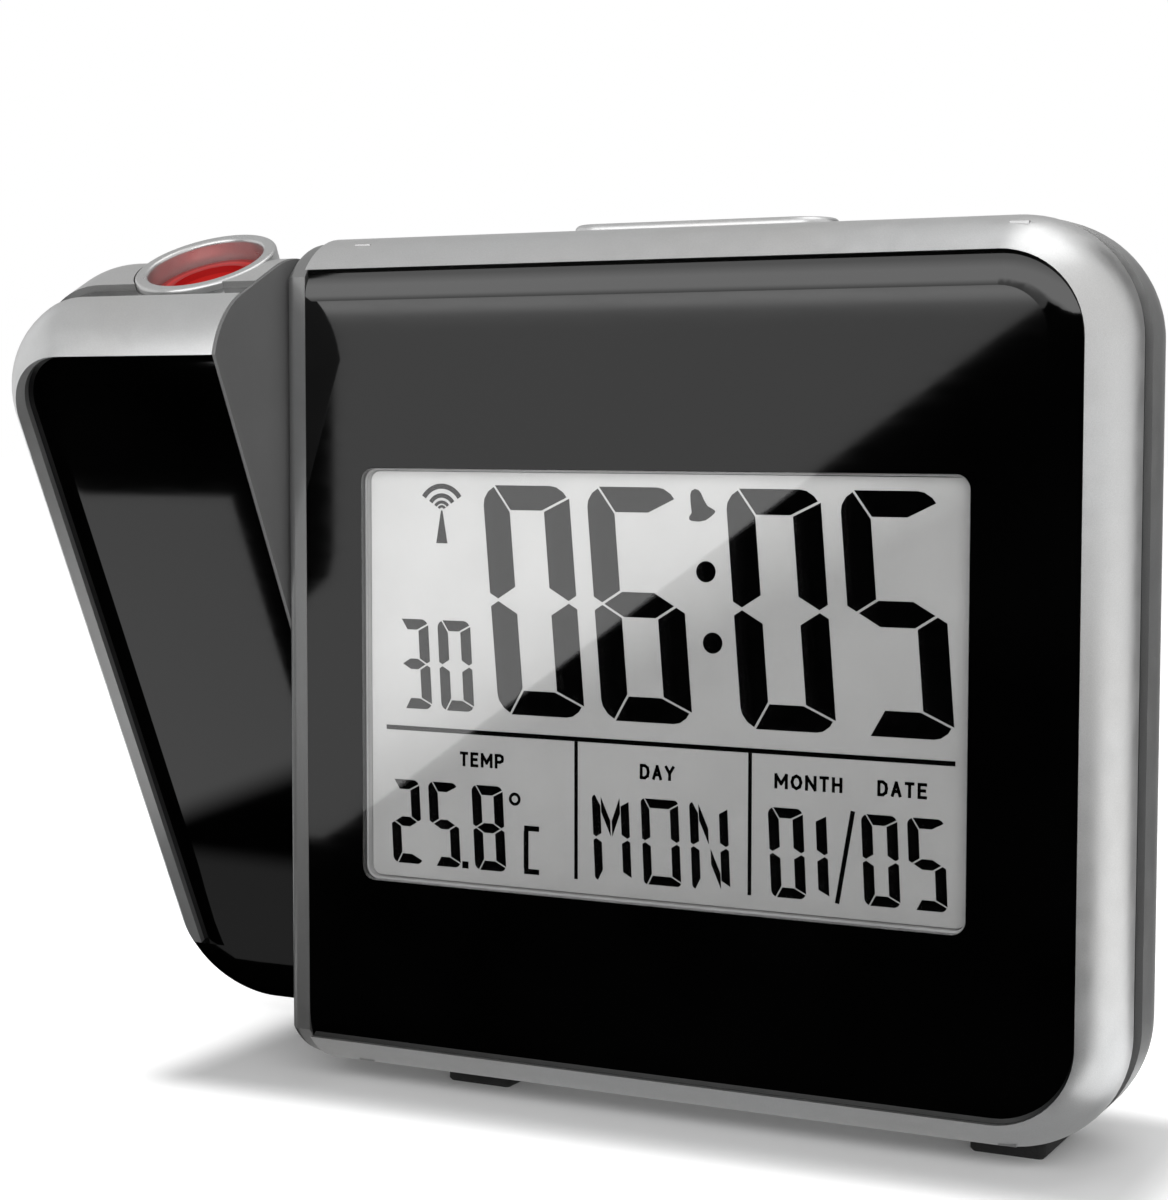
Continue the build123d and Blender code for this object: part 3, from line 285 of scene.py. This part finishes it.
def lamp_glow(name, rings, strength, roughness, coat):
    """Red light from the projector's lamp, painted as a glow on glass or on black plastic that is no lamp. rings give
    the painted glow's colour against millimetres from the lens axis."""
    n = Nodes(name)
    low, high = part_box("objective_lens")
    across = n.vector("CROSS_PRODUCT", n.vector("SUBTRACT", n.place, (low + high) / 2), pod_up)
    return n.surface(base_color=(0.06, 0.0, 0.0, 1), roughness=roughness, coat_weight=coat, coat_roughness=0.03,
                     normal=n.bump(n.noise(0.8, 2), 0.05, 0.02),
                     emission_color=n.ramp(n.vector("LENGTH", across), rings), emission_strength=strength)


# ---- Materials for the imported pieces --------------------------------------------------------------
def paint(material, *nodes):
    for node in nodes:
        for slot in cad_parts[node].material_slots:
            slot.material = material


paint(silver_paint("silver_shell", 0.56, 0.88), "front_bezel", "pod_bezel", "pod_rear_housing", "snooze_bar")
# The same silver paint made darker: painted shade for the case's rear and right side.
paint(silver_paint("silver_rear_painted_shade", 0.36, 0.8), "rear_housing", "battery_door")
# The silver paint made much darker: painted shade on the left end.
paint(silver_paint("end_trim", 0.26, 0.8, roughness=0.34, texture=0.3), "end_plate")
paint(silver_paint("key_silver", 0.46, 0.6, roughness=0.4), *[f"rear_key_{i}" for i in range(1, 6)])
paint(silver_paint("ring_silver", 0.52, 0.8, roughness=0.3, texture=0.3), "focus_ring")
panel_roughness, panel_mirror = 0.05, 0.55
paint(gloss_black("black_gloss", panel_roughness, panel_mirror), "front_panel")
paint(gloss_black("pod_gloss", panel_roughness, panel_mirror), "pod_panel")
paint(clear_pane("clear_window"), "display_window")
paint(plastic("pale_frame", grey(0.36), 0.5), "display_frame")
# The film's grey, with a painted reflection that makes it paler towards the upper left.
film_and_painted_reflection_levels = [(-40, 0.335), (-20, 0.35), (-6, 0.39), (2, 0.385), (10, 0.57), (18, 0.66), (34, 0.66)]
paint(reflective_display("lcd", pale_way=(-0.45, 0, 0.9), levels=film_and_painted_reflection_levels), "lcd_glass")
paint(plastic("light_sheet", grey(0.8), 0.3, vary=0.03), "light_guide")
paint(rubber("connector_rubber", 0.3), "zebra_strips")
paint(rubber("foot_rubber", 0.012), "feet")
paint(plastic("black_band", grey(0.012), 0.5), "shadow_band")
paint(plastic("gloss_band", grey(0.02), 0.16, specular=0.9, coat_weight=1.0, coat_roughness=0.06), "pod_band")
paint(plastic("black_part", grey(0.02), 0.42), "buzzer", "dc_socket", "slide_switch_body", "slide_switch_knob",
      "snooze_board", "key_switches", "shaft_bush", "friction_washer")
paint(plastic("cover_grey", grey(0.13), 0.42, vary=0.05), "pod_inner_cover")
paint(plastic("shaft_plastic", grey(0.05), 0.4), "pod_shaft")
paint(plastic("board", (0.03, 0.16, 0.07), 0.35, vary=0.2, grain_mm=0.8, grain_depth=0.02),
      "main_board", "key_board", "led_board")
paint(metal("screw_steel", 0.5), "case_screws", "pod_screws", "board_screws")
paint(metal("spring_steel", 0.6, 0.2), "battery_contacts", "retaining_clip")
# Painted glow on the black barrel, in rings about the lens axis.
barrel_rings = [(0, (0.3, 0, 0)), (5.0, (0.22, 0.002, 0.002)), (5.7, (0.4, 0.012, 0.01)), (6.2, (0.12, 0, 0)),
                (6.9, (0.32, 0.008, 0.006)), (7.4, (0.08, 0, 0))]
paint(lamp_glow("barrel_glow", barrel_rings, strength=1.0, roughness=0.5, coat=0.0), "lens_barrel")
paint(plastic("tube_black", grey(0.01), 0.7), "light_tube")
# Painted glow in the lens, with a painted highlight at its middle.
lens_rings = [(0, (1, 0.16, 0.1)), (1.4, (0.8, 0.02, 0.015)), (2.8, (0.4, 0.005, 0.005)), (3.5, (0.6, 0.02, 0.02)),
              (4.0, (0.25, 0, 0)), (4.8, (0.45, 0.01, 0.01)), (5.6, (0.16, 0, 0))]
paint(lamp_glow("lens", lens_rings, strength=1.6, roughness=0.03, coat=1.0), "objective_lens")
paint(clear_pane("condenser"), "condenser_lens")
paint(plastic("lamp_red", (0.5, 0.01, 0.01), 0.15), "red_led")
paint(plastic("small_lcd", grey(0.2), 0.2), "projection_lcd")
paint(metal("cell", 0.12, 0.3, tint=(1.0, 1.0, 1.05), stretch=(8, 1, 1)), "battery_lower", "battery_upper")


# ---- Flat shapes for the display and the rear marks -----------------------------------------------
def clipped(points, origin, direction, margin=0.0):
    """The part of a polygon on the left of a line, at least margin from it."""
    along = Vector(direction).normalized()
    left = Vector((-along.y, along.x))
    offset = Vector(origin).dot(left) + margin
    kept = []
    for i, p in enumerate(points):
        q = points[(i + 1) % len(points)]
        dp, dq = p.dot(left) - offset, q.dot(left) - offset
        if dp >= 0:
            kept.append(p)
        if (dp >= 0) != (dq >= 0):
            kept.append(p + (q - p) * (dp / (dp - dq)))
    return kept


def box_outline(x0, x1, z0, z1):
    return [Vector(p) for p in ((x0, z0), (x1, z0), (x1, z1), (x0, z1))]


def bar_outline(start, end, width):
    """A straight bar between two points."""
    start, end = Vector(start), Vector(end)
    along = (end - start).normalized()
    side = Vector((-along.y, along.x)) * width / 2
    return [start - side, end - side, end + side, start + side]


def rounded(points, middle, radius, start, cuts=4):
    """A polygon with one convex corner cut round. start is the quarter's first angle, in degrees."""
    for i in range(cuts):
        a = math.radians(start + 90 * (i + 0.5) / cuts)
        out = Vector((math.cos(a), math.sin(a)))
        points = clipped(points, Vector(middle) + out * radius, (-out.y, out.x))
    return points


def segment_outlines(width, height, upright, level, gap, tip, corner):
    """The seven segments of a digit, by letter, about its lower left corner. upright and level are the
    strokes' widths, and tip is where the cross bar's points stand in from the sides. The posts' and the
    bars' outer corners are round, and their joins run outwards from the corners of the opening."""
    middle, half, cut = height / 2, level / 2, gap / 2
    join_share = 0.45     # how far along the outer edge a join ends, as a share of the stroke
    inner_left, inner_right = Vector((upright, height - level)), Vector((width - upright, height - level))
    left_join = Vector((join_share * upright, height)) - inner_left
    right_join = Vector((width, height - join_share * level)) - inner_right
    run, rise = 1.0, 0.6  # the slope of the cross bar's points

    bar = clipped(box_outline(0, width, height - level, height), inner_left, -left_join, cut)
    bar = clipped(bar, inner_right, right_join, cut)
    bar = rounded(bar, (width - corner, height - corner), corner, 0)
    left_post = clipped(box_outline(0, upright, middle, height), inner_left, left_join, cut)
    left_post = rounded(left_post, (corner, height - corner), corner, 90)
    right_post = clipped(box_outline(width - upright, width, middle, height), inner_right, -right_join, cut)
    for up in (rise, -rise):
        left_post = clipped(left_post, (tip, middle), (run, up), cut)
        right_post = clipped(right_post, (width - tip, middle), (run, up), cut)
    cross = box_outline(0, width, middle - half, middle + half)
    for x, up in ((tip, -rise), (width - tip, rise)):
        for along in (-run, run):
            cross = clipped(cross, (x, middle), (along, up), cut)

    def flip(points):
        return [Vector((p.x, height - p.y)) for p in reversed(points)]

    return {"a": bar, "f": left_post, "b": right_post, "e": flip(left_post), "c": flip(right_post),
            "d": flip(bar), "g": cross}


lit_segments = {"0": "abcdef", "1": "bc", "2": "abdeg", "3": "abcdg", "5": "acdfg", "6": "acdefg", "8": "abcdefg"}


def digit(character, left, right, bottom, top, lean, **style):
    """One digit's outlines, in its cell. lean slides the top sideways."""
    shapes = segment_outlines(right - left - abs(lean), top - bottom, **style)
    base = left + max(0.0, -lean)
    return [[Vector((base + p.x + lean * p.y / (top - bottom), bottom + p.y)) for p in shapes[s]]
            for s in lit_segments[character]]


def ring_outlines(x, z, outer, inner, start=0.0, sweep=360.0, steps=28):
    """A ring or an arc as a strip of four-sided outlines."""
    pieces = []
    for i in range(steps):
        a, b = (math.radians(start + sweep * k / steps) for k in (i, i + 1))
        pieces.append([Vector((x + r * math.cos(t), z + r * math.sin(t)))
                       for r, t in ((inner, a), (outer, a), (outer, b), (inner, b))])
    return pieces


def disc_outline(x, z, radius, steps=24):
    return [Vector((x + radius * math.cos(2 * math.pi * i / steps), z + radius * math.sin(2 * math.pi * i / steps)))
            for i in range(steps)]


# Each letter's strokes, in a square of side 1.
letter_strokes = {
    "A": [[(0, 0), (0.5, 1), (1, 0)], [(0.2, 0.32), (0.8, 0.32)]],
    "D": [[(0, 0), (0, 1), (0.5, 1), (0.9, 0.82), (1, 0.5), (0.9, 0.18), (0.5, 0), (0, 0)]],
    "E": [[(1, 1), (0, 1), (0, 0), (1, 0)], [(0, 0.52), (0.85, 0.52)]],
    "F": [[(1, 1), (0, 1), (0, 0)], [(0, 0.52), (0.85, 0.52)]],
    "H": [[(0, 0), (0, 1)], [(1, 0), (1, 1)], [(0, 0.52), (1, 0.52)]],
    "M": [[(0, 0), (0, 1), (0.5, 0.3), (1, 1), (1, 0)]],
    "N": [[(0, 0), (0, 1), (1, 0), (1, 1)]],
    "O": [[(0.5, 1), (0.14, 0.84), (0, 0.5), (0.14, 0.16), (0.5, 0), (0.86, 0.16), (1, 0.5), (0.86, 0.84),
           (0.5, 1)]],
    "P": [[(0, 0), (0, 1), (0.6, 1), (0.95, 0.9), (1, 0.72), (0.95, 0.54), (0.6, 0.44), (0, 0.44)]],
    "T": [[(0, 1), (1, 1)], [(0.5, 1), (0.5, 0)]],
    "Y": [[(0, 1), (0.5, 0.48), (1, 1)], [(0.5, 0.48), (0.5, 0)]],
}
letter_widths = {"M": 1.3, "O": 1.15, "N": 1.1, "E": 0.9, "T": 0.95}


def letters(text, left, right, bottom, top, weight, space=0.26):
    """Plain bold capitals spread over a box, as outlines of their strokes. space is the gap's share of a
    letter."""
    shares = [letter_widths.get(character, 1.0) for character in text]
    unit, half = (right - left) / (sum(shares) + space * (len(text) - 1)), weight / 2
    overrun = 0.8 * half  # each stroke runs on past its ends, to close the bends
    shapes, x1 = [], left - space * unit
    for character, share in zip(text, shares):
        x0 = x1 + space * unit
        x1 = x0 + share * unit
        edges = (((x0, bottom), (1, 0)), ((x1, bottom), (0, 1)), ((x1, top), (-1, 0)), ((x0, top), (0, -1)))
        for stroke in letter_strokes[character]:
            spots = [Vector((x0 + half + u * (x1 - x0 - weight), bottom + half + v * (top - bottom - weight)))
                     for u, v in stroke]
            for a, b in zip(spots, spots[1:]):
                reach = (b - a).normalized() * overrun
                bar = bar_outline(a - reach, b + reach, weight)
                for origin, direction in edges:
                    bar = clipped(bar, origin, direction)
                shapes.append(bar)
    return shapes


def plate(name, outlines, material, face_y, back_y, body, mirrored=False):
    """Flat shapes in front view, made solid between two depths, as one piece. They are given as seen from
    the rear when mirrored."""
    mesh = bpy.data.meshes.new(name)
    work = bmesh.new()
    for outline in outlines:
        points = [Vector((-p.x if mirrored else p.x, p.y)) for p in outline]
        front = [work.verts.new(at(p.x, face_y, p.y)) for p in points]
        back = [work.verts.new(at(p.x, back_y, p.y)) for p in points]
        if len(points) > 4:
            for tri in tessellate_polygon([[Vector((p.x, p.y, 0)) for p in points]]):
                work.faces.new([front[i] for i in tri])
                work.faces.new([back[i] for i in reversed(tri)])
        else:
            work.faces.new(front)
            work.faces.new(list(reversed(back)))
        for i in range(len(points)):
            j = (i + 1) % len(points)
            work.faces.new((front[j], front[i], back[i], back[j]))
    bmesh.ops.recalc_face_normals(work, faces=work.faces)
    work.to_mesh(mesh)
    work.free()
    mesh.materials.append(material)
    piece = bpy.data.objects.new(name, mesh)
    scene.collection.objects.link(piece)
    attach(piece, body)


# ---- What the display shows -----------------------------------------------------------------------
glass_y = (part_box("lcd_glass")[0].y - centre.y) / MM
ink_depth = 0.05
crystal = ink("liquid_crystal", 0.0008)


def show(name, outlines):
    plate(name, outlines, crystal, glass_y - ink_depth, glass_y, "main_unit")


time_style = {"bottom": -3.8, "top": 21.95, "lean": -2.1, "upright": 3.25, "level": 2.75, "gap": 0.26, "tip": 0.98,
              "corner": 2.5}
time_shapes = []
for character, left, right in (("0", -21.3, -8.35), ("6", -8.25, 4.75), ("0", 8.45, 21.4), ("5", 21.5, 34.45)):
    time_shapes += digit(character, left, right, **time_style)
colon_radius = 1.15
time_shapes += [disc_outline(6.23, 12.94, colon_radius), disc_outline(7.06, 5.25, colon_radius)]
show("display_time", time_shapes)

# The seconds, and the lower row: the temperature with its point and unit, and the month and date.
seconds_style = {"bottom": -3.8, "top": 6.5, "lean": -0.55, "upright": 1.3, "level": 1.2, "gap": 0.2, "tip": 0.4,
                 "corner": 0.95}
row_style = {"bottom": -21.8, "top": -12.1, "lean": -0.5, "upright": 1.2, "level": 1.1, "gap": 0.17, "tip": 0.36,
             "corner": 0.8}
small_shapes = []
for character, left, right in (("3", -32.6, -27.9), ("0", -27.2, -22.4)):
    small_shapes += digit(character, left, right, **seconds_style)
for character, left, right in (("2", -33.6, -29.2), ("5", -28.5, -24.2), ("8", -22.8, -18.3), ("0", 13.6, 18.1),
                               ("0", 24.2, 28.7), ("5", 29.3, 33.85), ("1", 16.3, 20.75)):
    small_shapes += digit(character, left, right, **row_style)
small_shapes.append(box_outline(-24.0, -23.2, -21.8, -21.0))
small_shapes += ring_outlines(-17.2, -13.4, 0.75, 0.4)
unit_weight, unit_top, unit_bottom = 0.6, -16.6, -21.5
for start, end in (((-16.0, unit_top), (-14.1, unit_top)), ((-16.0, unit_bottom), (-14.1, unit_bottom)),
                   ((-15.75, unit_top - 0.3), (-15.75, unit_bottom + 0.3))):
    small_shapes.append(bar_outline(start, end, unit_weight))
small_shapes.append(bar_outline((21.6, -21.9), (23.3, -11.9), 0.5))
show("display_small_digits", small_shapes)

# The day's letters: a digit's posts and bars, with slants between them.
day_top, day_bottom, day_wide, day_lean = -12.2, -21.7, 4.5, -0.45
stem = 1.0
day_high = day_top - day_bottom
day_parts = segment_outlines(day_wide, day_high, stem, stem, gap=0.17, tip=0.34, corner=0.5)
half_way, day_middle = day_high / 2, day_wide / 2
upper_left = [Vector(p) for p in ((stem + 0.1, day_high - 0.2), (stem + 0.1, day_high - 1.9),
                                  (day_middle - 0.1, half_way + 0.25), (day_middle - 0.1, half_way + 1.95))]
upper_right = [Vector((day_wide - p.x, p.y)) for p in reversed(upper_left)]
lower_right = [Vector((p.x, day_high - p.y)) for p in reversed(upper_right)]
day_letters = {"M": ("fbec", [upper_left, upper_right]), "O": ("afbecd", []),
               "N": ("fbec", [upper_left, lower_right])}
day_shapes = []
for left, character in ((-7.5, "M"), (-1.5, "O"), (4.35, "N")):
    segments, slants = day_letters[character]
    for outline in [day_parts[s] for s in segments] + slants:
        day_shapes.append([Vector((left - day_lean + p.x + day_lean * p.y / day_high, day_bottom + p.y))
                           for p in outline])
show("display_day", day_shapes)

rule_weight, divider_weight = 0.52, 0.42
show("display_lines", [bar_outline((-33.98, -6.1), (34.5, -6.18), rule_weight),
                       bar_outline((-9.45, -6.4), (-9.45, -21.86), divider_weight),
                       bar_outline((11.52, -6.4), (11.52, -21.87), divider_weight)])

label_bottom, label_top, label_weight = -10.1, -8.4, 0.34
label_shapes = []
for text, left, right in (("TEMP", -24.3, -18.6), ("DAY", -1.6, 2.6), ("MONTH", 14.35, 22.1), ("DATE", 26.0, 31.5)):
    label_shapes += letters(text, left, right, label_bottom, label_top, label_weight)
show("display_labels", label_shapes)

# A radio mast under its waves, and the alarm's bell.
mast_x, mast_top, mast_foot = -26.57, 19.0, 15.28
icon_shapes = [[Vector((mast_x + half, z)) for half, z in ((-0.72, mast_foot), (0.72, mast_foot), (0.09, mast_top),
                                                           (-0.09, mast_top))]]
for outer, thick in ((0.62, 0.3), (1.14, 0.36), (1.95, 0.5), (3.05, 0.58)):
    icon_shapes += ring_outlines(mast_x, mast_top, outer, outer - thick, start=33, sweep=114, steps=16)
bell_x, bell_z = 5.75, 20.15
bell = [(-0.87, 1.7), (-1.25, 1.5), (-1.39, 1.1), (-1.36, 0.3), (-1.22, -0.9), (-1.52, -1.3), (-1.5, -1.62),
        (-1.2, -1.76), (-0.35, -1.82), (0.45, -1.65), (1.04, -1.25), (1.5, -0.85), (1.52, -0.6), (1.11, -0.36),
        (0.63, -0.12), (0.21, 0.52), (-0.14, 1.25), (-0.45, 1.6)]
icon_shapes.append([Vector((bell_x + x, bell_z + z)) for x, z in bell])
show("display_icons", icon_shapes)


# ---- Printed marks on the rear: plain symbols over the keys, and the lamp switch's two ends ---------
rear_y = (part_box("rear_housing")[1].y - centre.y) / MM
print_depth = 0.02
symbol_rise = 4.6         # from a key's middle to its symbol's
sign_reach, sign_weight, hand_weight = 0.9, 0.34, 0.22


def rear_middle(node):
    """A node's middle as seen from the rear."""
    low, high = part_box(node)
    return -((low.x + high.x) / 2 - centre.x) / MM, ((low.z + high.z) / 2 - centre.z) / MM


def key_symbol(number, x, z):
    level_bar = bar_outline((x - sign_reach, z), (x + sign_reach, z), sign_weight)
    if number == 1:       # alarm: a small bell and its clapper
        body = ((-1.0, -0.7), (1.0, -0.7), (0.62, -0.2), (0.5, 0.5), (0.2, 0.9), (-0.2, 0.9), (-0.5, 0.5),
                (-0.62, -0.2))
        return [[Vector((x + u, z + v)) for u, v in body], disc_outline(x, z - 0.95, 0.22, steps=12)]
    if number == 2:       # clock: a dial and two hands
        return ring_outlines(x, z, 1.0, 0.78) + [bar_outline((x, z - 0.1), (x, z + 0.65), hand_weight),
                                                 bar_outline((x - 0.1, z), (x + 0.5, z), hand_weight)]
    if number == 3:       # plus
        return [level_bar, bar_outline((x, z - sign_reach), (x, z + sign_reach), sign_weight)]
    if number == 4:       # minus
        return [level_bar]
    waves = []            # radio time signal
    for reach in (0.5, 0.95, 1.4):
        waves += ring_outlines(x, z - 0.8, reach, reach - 0.2, start=40, sweep=100, steps=10)
    return waves + [disc_outline(x, z - 0.8, 0.2, steps=12)]


rear_marks = []
for number in range(1, 6):
    key_x, key_z = rear_middle(f"rear_key_{number}")
    rear_marks += key_symbol(number, key_x, key_z + symbol_rise)
switch_x, switch_z = rear_middle("slide_switch_body")
for text, left, right in (("ON", -3.6, -1.2), ("OFF", 0.6, 3.7)):
    rear_marks += letters(text, switch_x + left, switch_x + right, switch_z + 2.4, switch_z + 3.8, 0.27)
plate("rear_prints", rear_marks, ink("rear_print", 0.012), rear_y, rear_y + print_depth, "main_unit",
      mirrored=True)


# ---- Stage: a white floor and backdrop, and two soft lights -----------------------------------------
def flat_card(name, corners, material):
    mesh = bpy.data.meshes.new(name)
    mesh.from_pydata([at(*c) for c in corners], [], [list(range(len(corners)))])
    mesh.materials.append(material)
    card = bpy.data.objects.new(name, mesh)
    scene.collection.objects.link(card)
    return card


def seen_rays(tree):
    """One for the rays that show the backdrop itself: those of the camera, of gloss and of glass."""
    path = tree.nodes.new("ShaderNodeLightPath")
    seen = path.outputs["Is Camera Ray"]
    for kind in ("Is Glossy Ray", "Is Transmission Ray"):
        either = tree.nodes.new("ShaderNodeMath")
        either.operation = "MAXIMUM"
        tree.links.new(seen, either.inputs[0])
        tree.links.new(path.outputs[kind], either.inputs[1])
        seen = either.outputs["Value"]
    return seen


# A painted shadow on the floor: less white is added near the object, and this stretches it past the main unit towards
# the pod.
pod_painted_shadow = 15           # the shadow reaches this far past the main unit, towards the pod
floor_lift = [(0, 0.02), (1.5, 0.08), (3, 0.16), (4.5, 0.3), (6, 0.44), (8, 0.6), (10, 0.7), (14, 0.78), (20, 0.82),
              (60, 0.85)]  # millimetres from the footprint, and how much white is added there
floor_reach = 4000


def floor_material():
    """Matt white paper. What looks at it directly sees it lifted to the backdrop's white, least near the object, so
    that the object's shadow stays and a painted shadow darkens the floor round its footprint."""
    n = Nodes("floor_white")
    low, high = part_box("front_bezel")[0] - Vector((pod_painted_shadow * MM, 0, 0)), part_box("rear_housing")[1]
    middle = ((low.x + high.x) / 2, (low.y + high.y) / 2, 0)
    # The last entry only has to be more than any height, so that height doesn't count.
    half_size = ((high.x - low.x) / 2, (high.y - low.y) / 2, 1.0)
    spread = n.vector("ABSOLUTE", n.vector("SUBTRACT", n.place, middle))
    outside = n.vector("MAXIMUM", n.vector("SUBTRACT", spread, half_size))
    lift = n.ramp(n.vector("LENGTH", outside), [(place, grey(level)) for place, level in floor_lift], "B_SPLINE")
    return n.surface(base_color=(0.9, 0.9, 0.9, 1), roughness=1.0, specular_ior_level=0.0,
                     emission_color=(1, 1, 1, 1), emission_strength=n.math("MULTIPLY", lift, seen_rays(n.tree)))


flat_card("floor", [(x * floor_reach, y * floor_reach, floor_z) for x, y in ((-1, -1), (1, -1), (1, 1), (-1, 1))],
          floor_material())

world = bpy.data.worlds.new("studio")
scene.world = world
world.use_nodes = True
tree = world.node_tree
tree.nodes.clear()
strength = tree.nodes.new("ShaderNodeMix")
strength.inputs["A"].default_value = 0.25     # on the object
strength.inputs["B"].default_value = 1.0      # where the backdrop is seen
tree.links.new(seen_rays(tree), strength.inputs["Factor"])
background = tree.nodes.new("ShaderNodeBackground")
background.inputs["Color"].default_value = (1, 1, 1, 1)
tree.links.new(strength.outputs["Result"], background.inputs["Strength"])
out = tree.nodes.new("ShaderNodeOutputWorld")
tree.links.new(background.outputs["Background"], out.inputs["Surface"])


def softbox(name, spot, aim, width, height, power):
    light = bpy.data.objects.new(name, bpy.data.lights.new(name, "AREA"))
    scene.collection.objects.link(light)
    light.data.shape, light.data.size, light.data.size_y = "RECTANGLE", width * MM, height * MM
    light.data.energy = power
    light.location = at(*spot)
    light.rotation_mode = "QUATERNION"
    light.rotation_quaternion = (Vector(aim) - Vector(spot)).to_track_quat("-Z", "Y")
    return light


softbox("top_light", spot=(60, 100, 750), aim=(0, 0, 0), width=700, height=500, power=1.4)
front_light = softbox("front_light", spot=(330, -760, 260), aim=(0, 0, 10), width=900, height=800, power=9.0)
front_light.visible_glossy = False


# ---- Cards round the object, seen only as reflections -----------------------------------------------
def glow(name, strength):
    return Nodes(name).emission(strength)


def reflection_card(name, corners, material):
    card = flat_card(name, corners, material)
    card.visible_camera = card.visible_diffuse = card.visible_shadow = card.visible_volume_scatter = False


# Flags, darker than the white studio, keep the gloss black and give the silver its shades.
dark, flag_grey = glow("flag_black", 0.0), glow("flag_grey", 0.12)
far_left, far_front, far_back, flag_top = -900, -720, 520, 600
on_floor, just_under = floor_z + 0.3, floor_z + 0.25
near_right, back_right = (260, 230), (60, 1500)
reflection_card("floor_flag", [(-700, far_front, on_floor), (500, far_front, on_floor), (500, -3, on_floor),
                               (-50, -3, on_floor), (-50, 45, on_floor), (-700, 45, on_floor)], dark)
reflection_card("right_flag", [(*near_right, floor_z), (*back_right, floor_z), (*back_right, 500),
                               (*near_right, 500)], flag_grey)
reflection_card("right_floor_flag", [(53, 30, on_floor), (*near_right, on_floor), (*back_right, on_floor)], flag_grey)
reflection_card("under_flag", [(-50, -3, just_under), (56, -3, just_under), (56, 20, just_under),
                               (-50, 20, just_under)], glow("flag_under", 0.35))
reflection_card("back_flag", [(far_left, far_back, 40), (120, far_back, 40), (120, far_back, flag_top),
                              (far_left, far_back, flag_top)], glow("flag_pale", 0.5))
reflection_card("high_flag", [(far_left, -600, flag_top), (-100, -600, flag_top), (-60, far_back, flag_top),
                              (far_left, far_back, flag_top)], glow("flag_high", 0.62))
reflection_card("front_flag", [(far_left, far_front, floor_z), (850, far_front, floor_z), (850, far_front, 700),
                               (far_left, far_front, 700)], dark)


# Pale cards, whose edges draw the reflections on the two panels.
def reflected(panel_points, plane_point, plane_normal, card_point, card_normal):
    """Where the camera's rays to points of a panel go after the panel mirrors them, on a card's plane."""
    normal, card_normal = Vector(plane_normal).normalized(), Vector(card_normal)
    eye = camera_spot - 2 * (camera_spot - Vector(plane_point)).dot(normal) * normal
    rays = [Vector(p) - eye for p in panel_points]
    return [eye + ray * ((Vector(card_point) - eye).dot(card_normal) / ray.dot(card_normal)) for ray in rays]


def banded_glow(name, bands):
    """A card's glow, whose strength follows its height through (height, strength) bands."""
    n = Nodes(name)
    height = n.add("ShaderNodeSeparateXYZ")
    n.feed(n.place, height.inputs["Vector"])
    top = max(strength for _, strength in bands)
    stops = [(at(0, 0, z).z / MM, grey(strength / top)) for z, strength in bands]
    return n.emission(top, n.ramp(height.outputs["Z"], stops))


card_y = -150
front_mirror = (0, 0, 0), (0, 1, 0), (0, card_y, 0), (0, 1, 0)
zone_edge = reflected([(x, 0, z) for x, z in ((-50.0, -24.5), (-43.5, -20.4), (-38.7, -17.7), (29.5, 31.0),
                                              (39.2, 37.9), (43.3, 40.6), (60.0, 51.6))], *front_mirror)
strip_edge = reflected([(x, 0, z) for x, z in ((-56.0, 48.0), (-43.3, 43.6), (-41.4, 40.9), (-39.9, 38.8),
                                               (-40.0, 14.0), (-40.7, 11.2), (-43.4, 8.9), (-50.0, 3.5))],
                       *front_mirror)
card_corners = [(120, card_y, 78), (120, card_y, 320), (-165, card_y, 320)]
main_bands = [(46, 1.1), (48.4, 1.3), (49.5, 3.2), (51.4, 3.2), (52.6, 0.8), (60, 0.8), (66, 1.1), (76, 3.0),
              (115, 3.0), (160, 1.8), (220, 1.3), (262, 1.1)]
reflection_card("main_glow", zone_edge + card_corners + strip_edge, banded_glow("main_bands", main_bands))

pod_panel_depth = 4.108   # from the tilt axis to the panel's face, towards the rear
pod_card_z = floor_z + 0.6


def on_pod_card(panel_points):
    """Points (x across, w up) of the pod's panel, as the card just over the floor shows in them."""
    spots = [Vector((x, 0, 0)) + pod_panel_depth * pod_back + w * pod_up for x, w in panel_points]
    return reflected(spots, pod_panel_depth * pod_back, pod_back, (0, 0, pod_card_z), (0, 0, 1))


def faded_glow(name, strength, edge_points, fade):
    """A glow that fades out across a line through two points of the pod's panel, as its reflection shows it.
    The card shines on the left of the line, and fade is the fade's half width in millimetres."""
    start, end = on_pod_card(edge_points)
    along = (end - start).normalized()
    n = Nodes(name)
    across = n.vector("DOT_PRODUCT", n.vector("SUBTRACT", n.place, at(*start)), (-along.y, along.x, 0))
    return n.emission(n.remap(across, 0, strength, -fade * MM, fade * MM, "SMOOTHSTEP"))


reflection_card("pod_glow", on_pod_card([(-74.0, -29.0), (-50.0, -19.5), (-50.5, 20.7), (-71.5, 20.7), (-73.5, 21.5),
                                         (-75.9, 22.8)]),
                faded_glow("pod_glow", 1.0, [(-53.4, -17.3), (-73.5, -25.4)], fade=3.2))
reflection_card("pod_low_glow", on_pod_card([(-74.0, -29.5), (-74.9, -36), (-75.1, -38.1), (-74.8, -42.9),
                                             (-73.6, -46.1), (-71.2, -47.9), (-67.4, -48.0), (-50.5, -47.9),
                                             (-50.5, -29.5)]),
                faded_glow("pod_low_glow", 0.24, [(-73.5, -31.0), (-53.4, -31.6)], fade=2.0))
